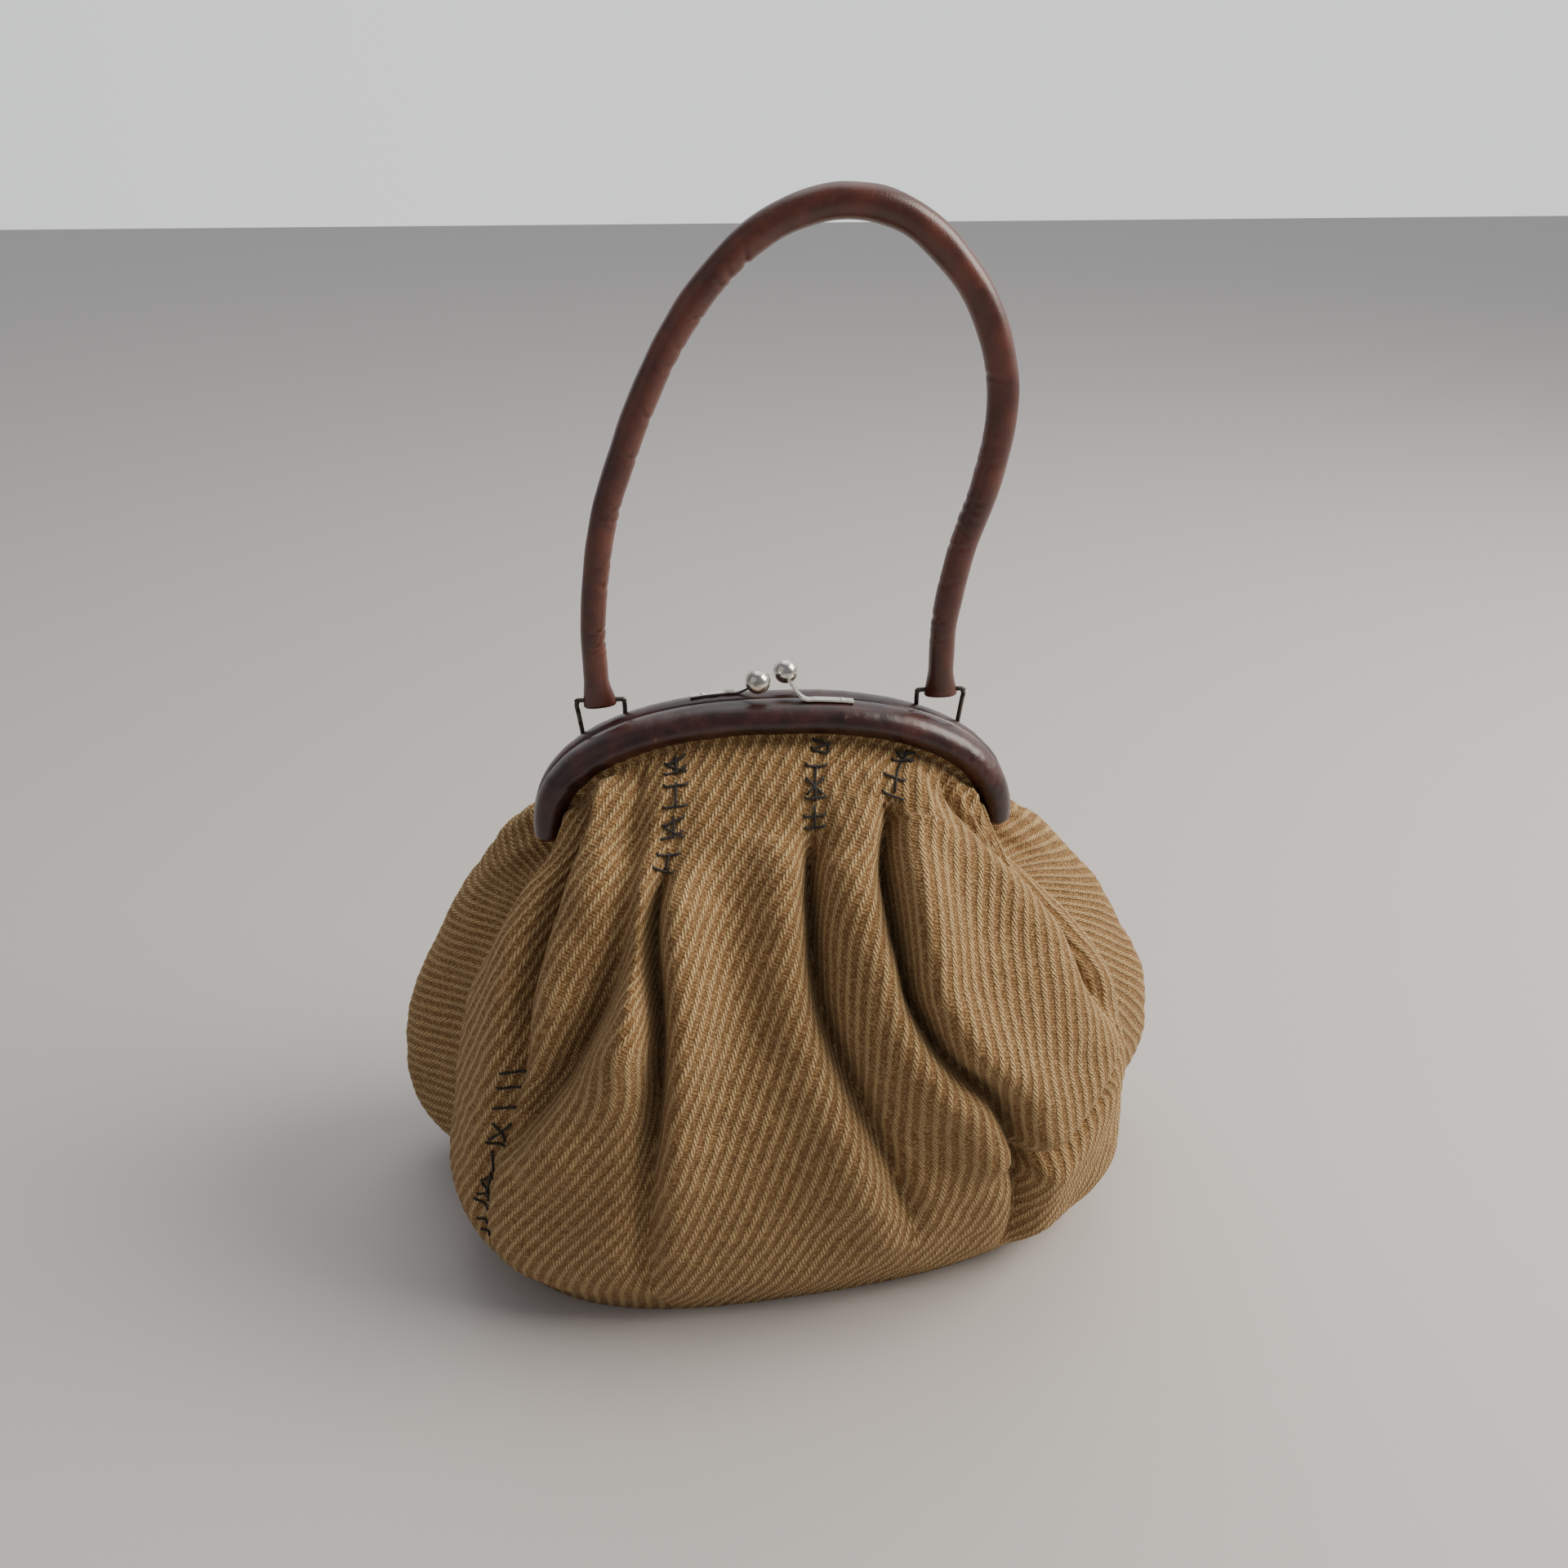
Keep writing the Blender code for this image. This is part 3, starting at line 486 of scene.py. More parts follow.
F, R = Side.FRONT, Side.REAR
CREASES: tuple[Crease, ...] = (
    Crease(F, ((0.156, 5.9, 0.3), (0.172, 5.2, 0.7), (0.181, 4.7, 0.9), (0.188, 3.65, 1.0),
               (0.194, 3.0, 0.8), (0.180, 2.4, 0.5), (0.145, 1.2, 0.3), (0.140, 0.6, 0.0)),
           0.0095, 0.013, 0.0040, 0.0045, 0.3, 0.40),
    Crease(F, ((0.250, 5.9, 0.2), (0.265, 5.0, 0.4), (0.284, 4.3, 0.7), (0.288, 3.65, 1.0),
               (0.256, 3.05, 1.0), (0.206, 2.35, 0.7), (0.180, 2.0, 0.0)),
           0.0115, 0.016, 0.0025, 0.0080, 0.3, 0.40),
    Crease(F, ((0.325, 6.0, 0.04), (0.338, 5.0, 0.05), (0.344, 4.5, 0.25), (0.338, 4.15, 1.0),
               (0.350, 3.4, 1.0), (0.350, 2.85, 0.8), (0.343, 2.0, 0.4), (0.338, 1.3, 0.2),
               (0.338, 0.8, 0.0)),
           0.0180, 0.014, 0.0065, 0.0085, 0.6, 0.42),
    Crease(F, ((0.581, 6.0, 0.04), (0.560, 5.0, 0.05), (0.550, 4.65, 0.25), (0.537, 4.35, 1.0),
               (0.528, 3.65, 0.9), (0.537, 3.2, 0.8), (0.562, 2.65, 0.7), (0.595, 1.95, 0.5),
               (0.612, 1.5, 0.2), (0.620, 1.2, 0.0)),
           0.0150, 0.015, 0.0090, 0.0020, 0.6, 0.42),
    Crease(F, ((0.569, 4.5, 0.0), (0.575, 4.1, 0.6), (0.584, 3.6, 1.0), (0.600, 3.1, 1.0),
               (0.630, 2.8, 0.8), (0.705, 2.05, 0.3), (0.730, 1.8, 0.0)),
           -0.0090, 0.015),
    Crease(F, ((0.738, 6.0, 0.04), (0.690, 5.0, 0.08), (0.675, 4.8, 0.5), (0.640, 4.3, 1.0),
               (0.628, 3.6, 1.0), (0.635, 3.3, 1.0), (0.655, 3.0, 0.9), (0.695, 2.65, 0.8),
               (0.715, 2.2, 0.6), (0.725, 1.85, 0.6), (0.738, 1.0, 0.3), (0.740, 0.5, 0.0)),
           0.0180, 0.014, 0.0045, 0.0085, 0.6, 0.42),
    Crease(F, ((0.760, 4.9, 0.0), (0.750, 4.2, 0.7), (0.745, 3.6, 1.0), (0.775, 3.0, 1.0),
               (0.790, 2.6, 0.7), (0.800, 2.2, 0.0)),
           -0.0070, 0.034),
    Crease(F, ((0.870, 5.6, 0.0), (0.866, 4.9, 0.3), (0.870, 4.3, 0.8), (0.865, 3.8, 1.0),
               (0.855, 3.4, 0.8), (0.870, 3.0, 0.5), (0.885, 2.6, 0.0)),
           0.0125, 0.016, 0.0060, 0.0040, 0.3, 0.42),
    Crease(F, ((0.725, 1.95, 0.6), (0.781, 2.1, 1.0), (0.850, 2.4, 0.9), (0.920, 2.7, 0.0)),
           0.0105, 0.014, 0.0025, 0.0060, 0.2),
    Crease(F, ((0.450, 5.0, 0.0), (0.450, 4.4, 0.5), (0.455, 3.7, 1.0), (0.462, 2.9, 0.9),
               (0.470, 2.0, 0.4), (0.475, 1.2, 0.0)),
           0.0080, 0.042, slit=1.0),
    Crease(F, ((0.355, 4.5, 0.0), (0.363, 4.2, 0.7), (0.386, 3.65, 1.0), (0.380, 3.15, 1.0),
               (0.363, 2.5, 0.7), (0.345, 1.6, 0.0)),
           -0.0065, 0.012),
    Crease(F, ((0.318, 4.7, 0.0), (0.316, 4.2, 0.7), (0.315, 3.65, 1.0), (0.322, 3.3, 0.8),
               (0.316, 2.9, 0.3), (0.310, 2.6, 0.0)),
           -0.0065, 0.013),
    Crease(F, ((0.550, 4.4, 0.0), (0.552, 3.9, 0.7), (0.556, 3.4, 1.0), (0.585, 2.8, 0.9),
               (0.630, 2.2, 0.4), (0.660, 1.8, 0.0)),
           0.0080, 0.013, slit=0.9),
    Crease(F, ((0.690, 4.8, 0.0), (0.672, 4.2, 0.8), (0.652, 3.7, 1.0), (0.662, 3.25, 1.0),
               (0.695, 2.9, 0.7), (0.715, 2.4, 0.0)),
           -0.0050, 0.010),
    Crease(F, ((0.800, 5.8, 0.3), (0.800, 5.2, 0.9), (0.812, 4.7, 1.0), (0.845, 4.3, 0.6),
               (0.862, 4.0, 0.0)),
           0.0050, 0.012, 0.0020, 0.0030, 0.2, 0.6),
    Crease(F, ((0.212, 5.9, 0.3), (0.214, 5.3, 1.0), (0.222, 4.6, 0.8), (0.235, 4.0, 0.0)),
           -0.0040, 0.012),
    Crease(R, ((0.170, 5.8, 0.3), (0.190, 4.8, 1.0), (0.200, 3.8, 0.8), (0.190, 2.6, 0.4), (0.180, 1.6, 0.0)),
           0.0080, 0.016, 0.0040, 0.0030, 0.2),
    Crease(R, ((0.400, 6.0, 0.15), (0.405, 4.8, 0.3), (0.410, 4.3, 1.0), (0.395, 3.4, 0.9),
               (0.380, 2.4, 0.6), (0.375, 1.3, 0.0)),
           0.0130, 0.014, 0.0050, 0.0040, 0.5, 0.40),
    Crease(R, ((0.620, 6.0, 0.15), (0.610, 4.8, 0.3), (0.600, 4.3, 1.0), (0.610, 3.4, 0.9),
               (0.630, 2.2, 0.6), (0.640, 1.0, 0.0)),
           0.0130, 0.014, 0.0040, 0.0050, 0.5, 0.40),
    Crease(R, ((0.840, 5.8, 0.3), (0.820, 4.8, 1.0), (0.810, 3.8, 0.9), (0.820, 2.6, 0.4), (0.830, 1.6, 0.0)),
           0.0080, 0.016, 0.0030, 0.0040, 0.2),
)


@dataclass(frozen=True)
class Gore:
    """A stretch of cloth between two creases: shares of its right edge by level, and its ribs' lean."""

    edge: tuple[float, ...]
    lean_deg: float


GORES: dict[Side, tuple[Gore, ...]] = {
    F: (
        Gore((0.140, 0.140, 0.176, 0.194, 0.186, 0.172, 0.156), 66),
        Gore((0.338, 0.338, 0.345, 0.350, 0.341, 0.338, 0.325), 62),
        Gore((0.620, 0.618, 0.592, 0.543, 0.531, 0.560, 0.581), 63),
        Gore((0.742, 0.738, 0.722, 0.655, 0.633, 0.690, 0.738), 66),
        Gore((0.868, 0.868, 0.868, 0.870, 0.872, 0.873, 0.875), 70),
        Gore((1.0,) * 7, 86),
    ),
    R: (
        Gore((0.180, 0.180, 0.185, 0.195, 0.200, 0.190, 0.170), 12),
        Gore((0.375, 0.375, 0.378, 0.390, 0.405, 0.405, 0.400), 112),
        Gore((0.640, 0.640, 0.632, 0.615, 0.603, 0.608, 0.620), 116),
        Gore((0.830, 0.830, 0.825, 0.815, 0.812, 0.820, 0.840), 112),
        Gore((1.0,) * 7, 128),
    ),
}


@dataclass(frozen=True)
class BagSize:
    """Sizes of the cloth bag, in metres."""

    width: float = 0.370
    depth: float = 0.190
    height: float = 0.240
    thickness: float = 0.0022
    insertion: float = 0.0035
    lip_drop: float = 0.0030
    gusset_drop: float = 0.008
    seam_reach: float = 0.025
    rib_pitch: float = 0.0049
    base_lean_deg: float = 62.0
    sections: tuple[Section, ...] = (
        Section(0.000, 0.70, 0.80, 0.68, 0.75, 0.76, 2.6, 0.000, 0.025, 0.20),
        Section(0.125, 0.82, 0.99, 0.79, 0.92, 0.95, 2.5, 0.000, 0.030, 0.12),
        Section(0.325, 0.82, 1.01, 0.78, 0.99, 1.00, 2.4, 0.000, 0.033, 0.03),
        Section(0.520, 0.78, 0.91, 0.70, 0.88, 0.90, 2.4, 0.020, 0.028, 0.00),
        Section(0.640, 0.70, 0.79, 0.58, 0.60, 0.64, 2.6, 0.110, 0.010, 0.00),
        Section(0.710, 0.60, 0.64, 0.49, 0.27, 0.29, 2.8, 0.210, 0.000, 0.00),
    )


@dataclass
class ClothShape:
    """The bag's surface by the share across a panel and the level up it.

    The slack, rumple and gathering are heights in metres, and the gathers are counted across a panel.
    The fades are a share at the seams, and levels at the lip and the base, over which relief dies out.
    The probe is the share and the level that the normals are taken over.
    """

    frame: FrameSize
    bag: BagSize
    slack: float = 0.0009
    rumple: float = 0.00035
    gathering: float = 0.0012
    gathers: float = 26.0
    gather_level: float = 5.2
    gather_reach: float = 0.8
    seam_fade: float = 0.03
    lip_fade: float = 0.4
    base_fade: float = 0.6
    probe: tuple[float, float] = (0.004, 0.05)
    beads: dict[int, tuple[Array, Array, Array]] = field(default_factory=dict)

    def rib_lay(self, across: Array, up: Array, lean_deg: float) -> Array:
        """Coordinates across and along ribs that lean by an angle, in rib pitches."""
        lean = math.radians(lean_deg)
        sine, cosine = math.sin(lean), math.cos(lean)
        return np.stack([across * sine - up * cosine, across * cosine + up * sine], -1) / self.bag.rib_pitch

    @property
    def lip_level(self) -> int:
        """The level of the row just under the bars."""
        return len(self.bag.sections)

    def mouth_row(self, share: Array, below: float, side: Side) -> Array:
        """Points of the cloth at a distance below its free edge in the channel."""
        rim = self.frame.bar_height - self.bag.insertion
        edge = self.bag.gusset_drop + self.frame.channel_line
        gusset = edge / (along(self.frame.arch(rim))[-1] + 2 * edge)
        xz = at_share(self.frame.arch(rim + below), (share - gusset) / (1 - 2 * gusset))
        from_seam = np.minimum(np.minimum(share, 1 - share) / gusset, 1)
        hand = np.where(share < 0.5, -1.0, 1.0)
        climb = np.maximum(2 * from_seam - 1, 0)
        turn = climb * math.pi / 2
        drop_x = hand * (self.frame.width / 2 - rim - below * np.sin(turn))
        drop_z = self.frame.top - self.frame.rise - self.bag.gusset_drop * (1 - climb) - below * np.cos(turn)
        x = np.where(from_seam < 1, drop_x, xz[..., 0])
        z = np.where(from_seam < 1, drop_z, xz[..., 1])
        y = side.value * (self.frame.channel_line + self.bag.thickness / 2) * np.minimum(2 * from_seam, 1)
        return np.stack([x, y, z], -1)

    def section_row(self, section: Section, share: Array, side: Side) -> Array:
        """Points of one section on one side, before any crease."""
        half = self.bag.width / 2
        front = side is Side.FRONT
        width = half * (section.front_width if front else section.rear_width)
        depth = self.bag.depth / 2 * (section.front_depth if front else section.rear_depth)
        curve = superellipse(width, depth, section.roundness)
        xy = at_share(curve, share)
        length = along(curve)[-1]
        x = xy[..., 0]
        for end, hand in ((0.0, -1), (1.0, 1)):
            near = np.exp(-((np.abs(share - end) * length / self.bag.seam_reach) ** 2))
            x = x - hand * (width - half * section.seam_width) * near
        across = np.clip(xy[..., 0] / width, -1, 1)
        z = self.bag.height * (section.height + section.crown * (1 - across**4))
        y = side.value * xy[..., 1] * (1 - (section.skew if front else 0) * across)
        return np.stack([x + half * section.sway, y, z], -1)

    def point(self, share: Array, level: float, side: Side) -> Array:
        """The cloth without creases at shares across one level, 0 base to 6 lip."""
        rows = [self.section_row(s, share, side) for s in self.bag.sections]
        rows.append(self.mouth_row(share, self.bag.insertion + self.bag.lip_drop, side))
        return spline(rows, level)

    def normal(self, share: Array, level: float, side: Side) -> Array:
        """Outward normals of the cloth without creases."""
        across, up = self.probe
        left = self.point(np.maximum(share - across, 0), level, side)
        right = self.point(np.minimum(share + across, 1), level, side)
        low = self.point(share, max(level - up, 0), side)
        high = self.point(share, min(level + up, self.lip_level), side)
        return unit(-side.value * np.cross(right - left, high - low))

    def crease_line(self, index: int) -> tuple[Array, Array, Array]:
        """Points, directions to the right hand and strengths close together along a crease."""
        if index not in self.beads:
            crease = CREASES[index]
            path = smooth_path(crease.path, 14 * len(crease.path))
            points = np.array([self.point(s, v, crease.side) for s, v, _ in path])
            normals = np.array([self.normal(s, v, crease.side) for s, v, _ in path])
            right = unit(np.cross(normals, np.gradient(points, axis=0)))
            self.beads[index] = (points, right, np.clip(path[:, 2], 0, 1))
        return self.beads[index]

    def creased(self, points: Array, normals: Array, side: Side) -> Array:
        """The points moved in at the creases of one side, out at their lips, and gathered to them."""
        moved = points.copy()
        for index, crease in enumerate(CREASES):
            if crease.side is not side:
                continue
            beads, right, strength = self.crease_line(index)
            apart = points[:, None, :] - beads[None, :, :]
            nearest = np.argmin((apart**2).sum(-1), axis=1)
            gap = apart[np.arange(len(points)), nearest]
            offset = (gap * right[nearest]).sum(-1)
            slack = np.maximum((gap**2).sum(-1) - offset**2, 0)
            t = offset / crease.width
            near = strength[nearest] * np.exp(-slack / crease.width**2)
            if crease.depth > 0:
                push = np.where(t < 0, crease.left_roll, crease.right_roll) * t**2 * np.exp(1 - t**2)
                push -= crease.depth * np.exp(-((t / crease.slit) ** 2))
            else:
                push = -crease.depth * np.exp(-(t**2))
            moved += normals * (near * push)[:, None]
            moved -= right[nearest] * (near * crease.gather * offset * np.exp(-(t**2)))[:, None]
        return moved

    def surface(self, share: Array, level: float, side: Side) -> Array:
        """The creased and slightly uneven cloth at shares across one level."""
        points = self.point(share, level, side)
        normals = self.normal(share, level, side)
        fade = smooth((self.lip_level - level) / self.lip_fade) * smooth(level / self.base_fade)
        moved = self.creased(points, normals, side)
        uneven = self.slack * waves(points, 5, 10, 0.090, 0.030)
        uneven += self.rumple * waves(points, 9, 10, 0.030, 0.012)
        at_seam = smooth(np.minimum(share, 1 - share) / self.seam_fade)
        ends = 0.25 + 0.75 * smooth((np.abs(share - 0.5) - 0.2) / 0.1)
        gathers = np.sin(2 * math.pi * (share * self.gathers + 0.25 * np.sin(share * 21))) * ends
        reach = math.exp(-(((level - self.gather_level) / self.gather_reach) ** 2))
        uneven += self.gathering * gathers * reach
        moved += normals * (uneven * at_seam)[:, None]
        return points + (moved - points) * fade


@dataclass
class ClothPanel:
    """One fine cloth panel with ribs running at each gore's lean.

    The gore shift keeps the pattern of one gore from running on in the next. The rib relief is calmed
    in the last rows, which are under the bars.
    """

    shape: ClothShape
    side: Side
    columns: int = 380
    rows: int = 250
    rib_relief: float = 0.00018
    gore_shift: float = 37.3
    calm_rows: int = 8
    calm: float = 0.3

    def levels(self) -> Array:
        """Levels that space the rows evenly up the middle of the panel."""
        dense = np.linspace(0, self.shape.lip_level, 241)
        line = np.array([self.shape.point(np.array(0.5), v, self.side) for v in dense])
        length = along(line)
        return np.interp(np.linspace(0, length[-1], self.rows), length, dense)

    def gore_edges(self, level: float) -> Array:
        """Shares of all gore edges at a level, from 0 to 1."""
        rows = np.array([g.edge for g in GORES[self.side]]).T
        return np.concatenate([[0.0], spline(rows, level)])

    def rib_coords(self, points: Array, share: Array, levels: Array) -> tuple[Array, Array]:
        """Rib coordinates of every vertex in every gore's own lay, and each vertex's gore."""
        run = np.array([along(row) for row in points])
        edges = np.array([self.gore_edges(v) for v in levels])
        coords = []
        for k, gore in enumerate(GORES[self.side]):
            middle = (edges[:, k] + edges[:, k + 1]) / 2
            start = np.array([np.interp(m, share, row) for m, row in zip(middle, run)])
            spine = [[np.interp(m, share, c) for c in row.T] for m, row in zip(middle, points)]
            across = -self.side.value * (run - start[:, None])
            lay = self.shape.rib_lay(across, along(np.array(spine))[:, None], gore.lean_deg)
            coords.append(lay + [self.gore_shift * k, 0.0])
        owner = np.stack([np.clip(np.searchsorted(e, share, "right") - 1, 0, len(coords) - 1) for e in edges])
        return np.array(coords), owner

    def build(self, material: Material) -> Object:
        """Make the panel and write its rib coordinates as the UV map "cloth"."""
        shape = self.shape
        share = np.linspace(0, 1, self.columns)
        levels = self.levels()
        rows = [shape.surface(share, v, self.side) for v in levels]
        under = shape.bag.insertion + shape.bag.lip_drop
        rows += [shape.mouth_row(share, under * part, self.side) for part in (0.75, 0.5, 0.25)]
        points = np.array(rows)
        levels = np.append(levels, [float(shape.lip_level)] * 3)
        coords, owner = self.rib_coords(points, share, levels)
        picked = np.take_along_axis(coords, owner[None, :, :, None], axis=0)[0]
        normals = np.cross(np.gradient(points, axis=1), np.gradient(points, axis=0))
        normals = -self.side.value * unit(normals)
        relief = np.cos(2 * math.pi * (picked[..., 0] - 0.5)) * self.rib_relief
        relief[-self.calm_rows :] *= self.calm
        bm, cell = grid_bmesh(points + normals * relief[..., None])
        layer = bm.loops.layers.uv.new("cloth")
        rows_at, columns_at = cell.T
        for face in bm.faces:
            inside = [v.index for v in face.verts]
            gore = owner[rows_at[inside].min(), columns_at[inside].min()]
            for loop in face.loops:
                loop[layer].uv = coords[gore, *cell[loop.vert.index]]
        if self.side is Side.REAR:
            bmesh.ops.reverse_faces(bm, faces=bm.faces)
        return finish_object(f"wool_{self.side.name.lower()}_panel", bm, material)


@dataclass
class Underside:
    """The flat bottom that joins the two panels, on the surface the bag stands on."""

    shape: ClothShape
    rings: int = 30
    columns: int = 160

    def build(self, material: Material) -> Object:
        """Make the bottom as rings that shrink towards its middle."""
        share = np.linspace(0, 1, self.columns)
        front = self.shape.surface(share, 0.0, Side.FRONT)
        rear = self.shape.surface(share, 0.0, Side.REAR)
        edge = np.concatenate([front, rear[::-1][1:]])
        middle = edge.mean(0)
        rings = np.array([middle + (edge - middle) * s for s in np.linspace(1, 0.01, self.rings)])
        bm, _ = grid_bmesh(rings)
        layer = bm.loops.layers.uv.new("cloth")
        for face in bm.faces:
            for loop in face.loops:
                loop[layer].uv = self.shape.rib_lay(*loop.vert.co.xy, self.shape.bag.base_lean_deg)
        bmesh.ops.recalc_face_normals(bm, faces=bm.faces)
        if sum(f.normal.z for f in bm.faces) > 0:
            bmesh.ops.reverse_faces(bm, faces=bm.faces)
        return finish_object("wool_underside", bm, material)


# Mending stitches


class Mark(Enum):
    """Shapes of the mending stitches, as strokes (across, down, across, down) in -1 to 1."""

    BAR = ((-1.0, 0.05, 1.0, -0.05),)
    SLANT = ((-1.15, -0.5, 0.95, 0.6),)
    SLASH = ((-0.35, -1.0, 0.4, 1.0),)
    CROSS = ((-0.85, -1.0, 0.8, 0.75), (0.75, -1.0, -0.8, 0.75), (-0.95, 1.0, 1.0, 0.9))
    KAY = ((-0.9, -0.2, 0.9, -1.0), (-0.7, -0.1, 0.95, 0.9), (-0.95, 1.0, 0.85, 0.35), (0.0, -1.0, 0.1, 1.0))
    ZIGZAG = (
        (-0.8, -1.0, 0.8, -0.5), (0.8, -0.5, -0.7, 0.35), (-0.7, 0.35, 0.85, 0.95), (0.8, -0.5, 0.85, 0.95),
    )
    SPINE = ((0.0, -1.0, 0.05, 1.0),)


@dataclass(frozen=True)
class Ladder:
    """A mended dart: its line as (share, level), its half width, its marks as (kind, level, half height)."""

    name: str
    line: tuple[tuple[float, float], ...]
    half_width: float
    marks: tuple[tuple[Mark, float, float], ...]


LADDERS: tuple[Ladder, ...] = (
    Ladder("left", ((0.338, 4.3), (0.344, 4.6), (0.338, 5.0), (0.325, 6.0)), 0.0050, (
        (Mark.KAY, 5.60, 0.23), (Mark.BAR, 5.17, 0.04), (Mark.SPINE, 5.05, 0.14), (Mark.BAR, 4.92, 0.04),
        (Mark.KAY, 4.73, 0.09), (Mark.BAR, 4.53, 0.04), (Mark.SPINE, 4.48, 0.06), (Mark.SLANT, 4.42, 0.05),
    )),
    Ladder("middle", ((0.545, 4.3), (0.550, 4.65), (0.560, 5.0), (0.581, 6.0)), 0.0048, (
        (Mark.ZIGZAG, 5.83, 0.16), (Mark.BAR, 5.41, 0.05), (Mark.SPINE, 5.16, 0.25), (Mark.CROSS, 5.08, 0.12),
        (Mark.BAR, 4.80, 0.04), (Mark.SPINE, 4.79, 0.10), (Mark.BAR, 4.71, 0.04),
    )),
    Ladder("right", ((0.672, 4.6), (0.690, 5.0), (0.738, 6.0)), 0.0048, (
        (Mark.KAY, 5.83, 0.17), (Mark.SLANT, 5.23, 0.08), (Mark.SPINE, 5.29, 0.30), (Mark.SLANT, 4.98, 0.08),
    )),
    Ladder("low", ((0.140, 0.6), (0.145, 1.2), (0.177, 2.4), (0.188, 3.0)), 0.0046, (
        (Mark.BAR, 2.84, 0.30), (Mark.BAR, 2.70, 0.30), (Mark.BAR, 2.51, 0.30), (Mark.CROSS, 2.23, 0.12),
        (Mark.SLASH, 1.92, 0.11), (Mark.KAY, 1.66, 0.13), (Mark.SLANT, 1.46, 0.04),
        (Mark.BAR, 1.24, 0.80), (Mark.BAR, 1.07, 0.80),
    )),
)


@dataclass
class Stitches:
    """Charcoal thread laid over the cloth along the mended darts."""

    shape: ClothShape
    thread: TubeSection = TubeSection(0.00048, 0.00048, 8)
    proud: float = 0.0007
    end_sink: float = 0.00154
    steps: int = 12

    def lay(self, ladder: Ladder, across: float, level: float) -> Array:
        """A point on the front cloth at a distance to the right of the ladder's line."""
        line = np.array(ladder.line)
        share = float(np.interp(level, line[:, 1], line[:, 0]))
        row = self.shape.point(np.linspace(0, 1, 200), level, Side.FRONT)
        at = np.array([share + across / along(row)[-1]])
        point = self.shape.surface(at, level, Side.FRONT)[0]
        return point + self.shape.normal(at, level, Side.FRONT)[0] * self.proud

    def build(self, material: Material) -> list[Object]:
        """One object of threads for each ladder."""
        made = []
        for ladder in LADDERS:
            bm = bmesh.new()
            for kind, level, half in ladder.marks:
                for u0, v0, u1, v1 in kind.value:
                    across = np.linspace(u0, u1, self.steps) * ladder.half_width
                    levels = level - np.linspace(v0, v1, self.steps) * half
                    path = np.array([self.lay(ladder, *place) for place in zip(across, levels)])
                    path[[0, -1]] += [0.0, self.end_sink, 0.0]
                    add_tube(bm, self.thread.rings(path, (0.0, -1.0, 0.3)))
            made.append(finish_object(f"mending_thread_{ladder.name}", bm, material))
        return made


# Leather and metal


BAR_SECTION: tuple[tuple[float, float], ...] = (
    (0.97, 0.00), (0.60, 0.00), (0.20, 0.00), (0.10, 0.00), (0.03, 0.08), (0.00, 0.28), (0.02, 0.50),
    (0.10, 0.72), (0.26, 0.90), (0.48, 0.99), (0.68, 0.97), (0.84, 0.86), (0.95, 0.74), (0.995, 0.64),
)


@dataclass
class BarCover:
    """The leather skin folded over one bar of the frame.

    Its puckers begin at the flat distance from the parting and grow over the flat fade. They are
    deepest at the bends, whose place and reach are shares of the arch counted from its middle.
    """

    frame: FrameSize
    side: Side
    lift: float = 0.00016
    steps: int = 260
    section_steps: int = 44
    end_radius: float = 0.0022
    end_rings: int = 7
    pucker: float = 0.00016
    flat: float = 0.0008
    flat_fade: float = 0.002
    bend_place: float = 0.38
    bend_reach: float = 0.07

    def section(self) -> Array:
        """The skin's section as (inset, depth) in metres, lifted off the bar."""
        size = np.array([self.frame.bar_height, self.frame.bar_depth])
        curve = smooth_path(np.array(BAR_SECTION) * size, self.section_steps)
        return curve + unit(np.gradient(curve, axis=0)[:, ::-1] * [-1, 1]) * self.lift

    def build(self, material: Material) -> Object:
        """Make the skin with its puckers and its rounded ends."""
        share = np.linspace(0, 1, self.steps)
        section = self.section()
        base = self.frame.parting / 2
        rows = np.empty((self.steps, len(section), 3))
        for k, (inset, depth) in enumerate(section):
            xz = at_share(self.frame.arch(inset), share)
            rows[:, k] = np.insert(xz, 1, self.side.value * (base + depth), axis=1)
        centre = rows.mean(axis=1, keepdims=True)
        out = unit(rows - centre)
        bend = 0.35 + 0.65 * np.exp(-(((np.abs(share - 0.5) - self.bend_place) / self.bend_reach) ** 2))
        ridge = waves(rows * [1.0, 0.25, 1.0], 31 + self.side.value, 12, 0.012, 0.003)
        push = self.pucker * (bend[:, None] * ridge + waves(rows, 41 + self.side.value, 8, 0.05, 0.02))
        outside = smooth((section[:, 1] - self.flat) / self.flat_fade)
        rows += out * (np.maximum(push, -self.lift * 0.6) * outside[None, :])[..., None]
        left, right = [], []
        for turn in np.linspace(0.15, 1, self.end_rings) * math.pi / 2:
            for end, caps in ((0, left), (-1, right)):
                shrunk = centre[end] + (rows[end] - centre[end]) * max(math.cos(turn), 0.03)
                caps.append(shrunk - [0, 0, self.end_radius * math.sin(turn)])
        bm, _ = grid_bmesh(np.array([*left[::-1], *rows, *right]))
        bmesh.ops.recalc_face_normals(bm, faces=bm.faces)
        return finish_object(f"leather_{self.side.name.lower()}_cover", bm, material)


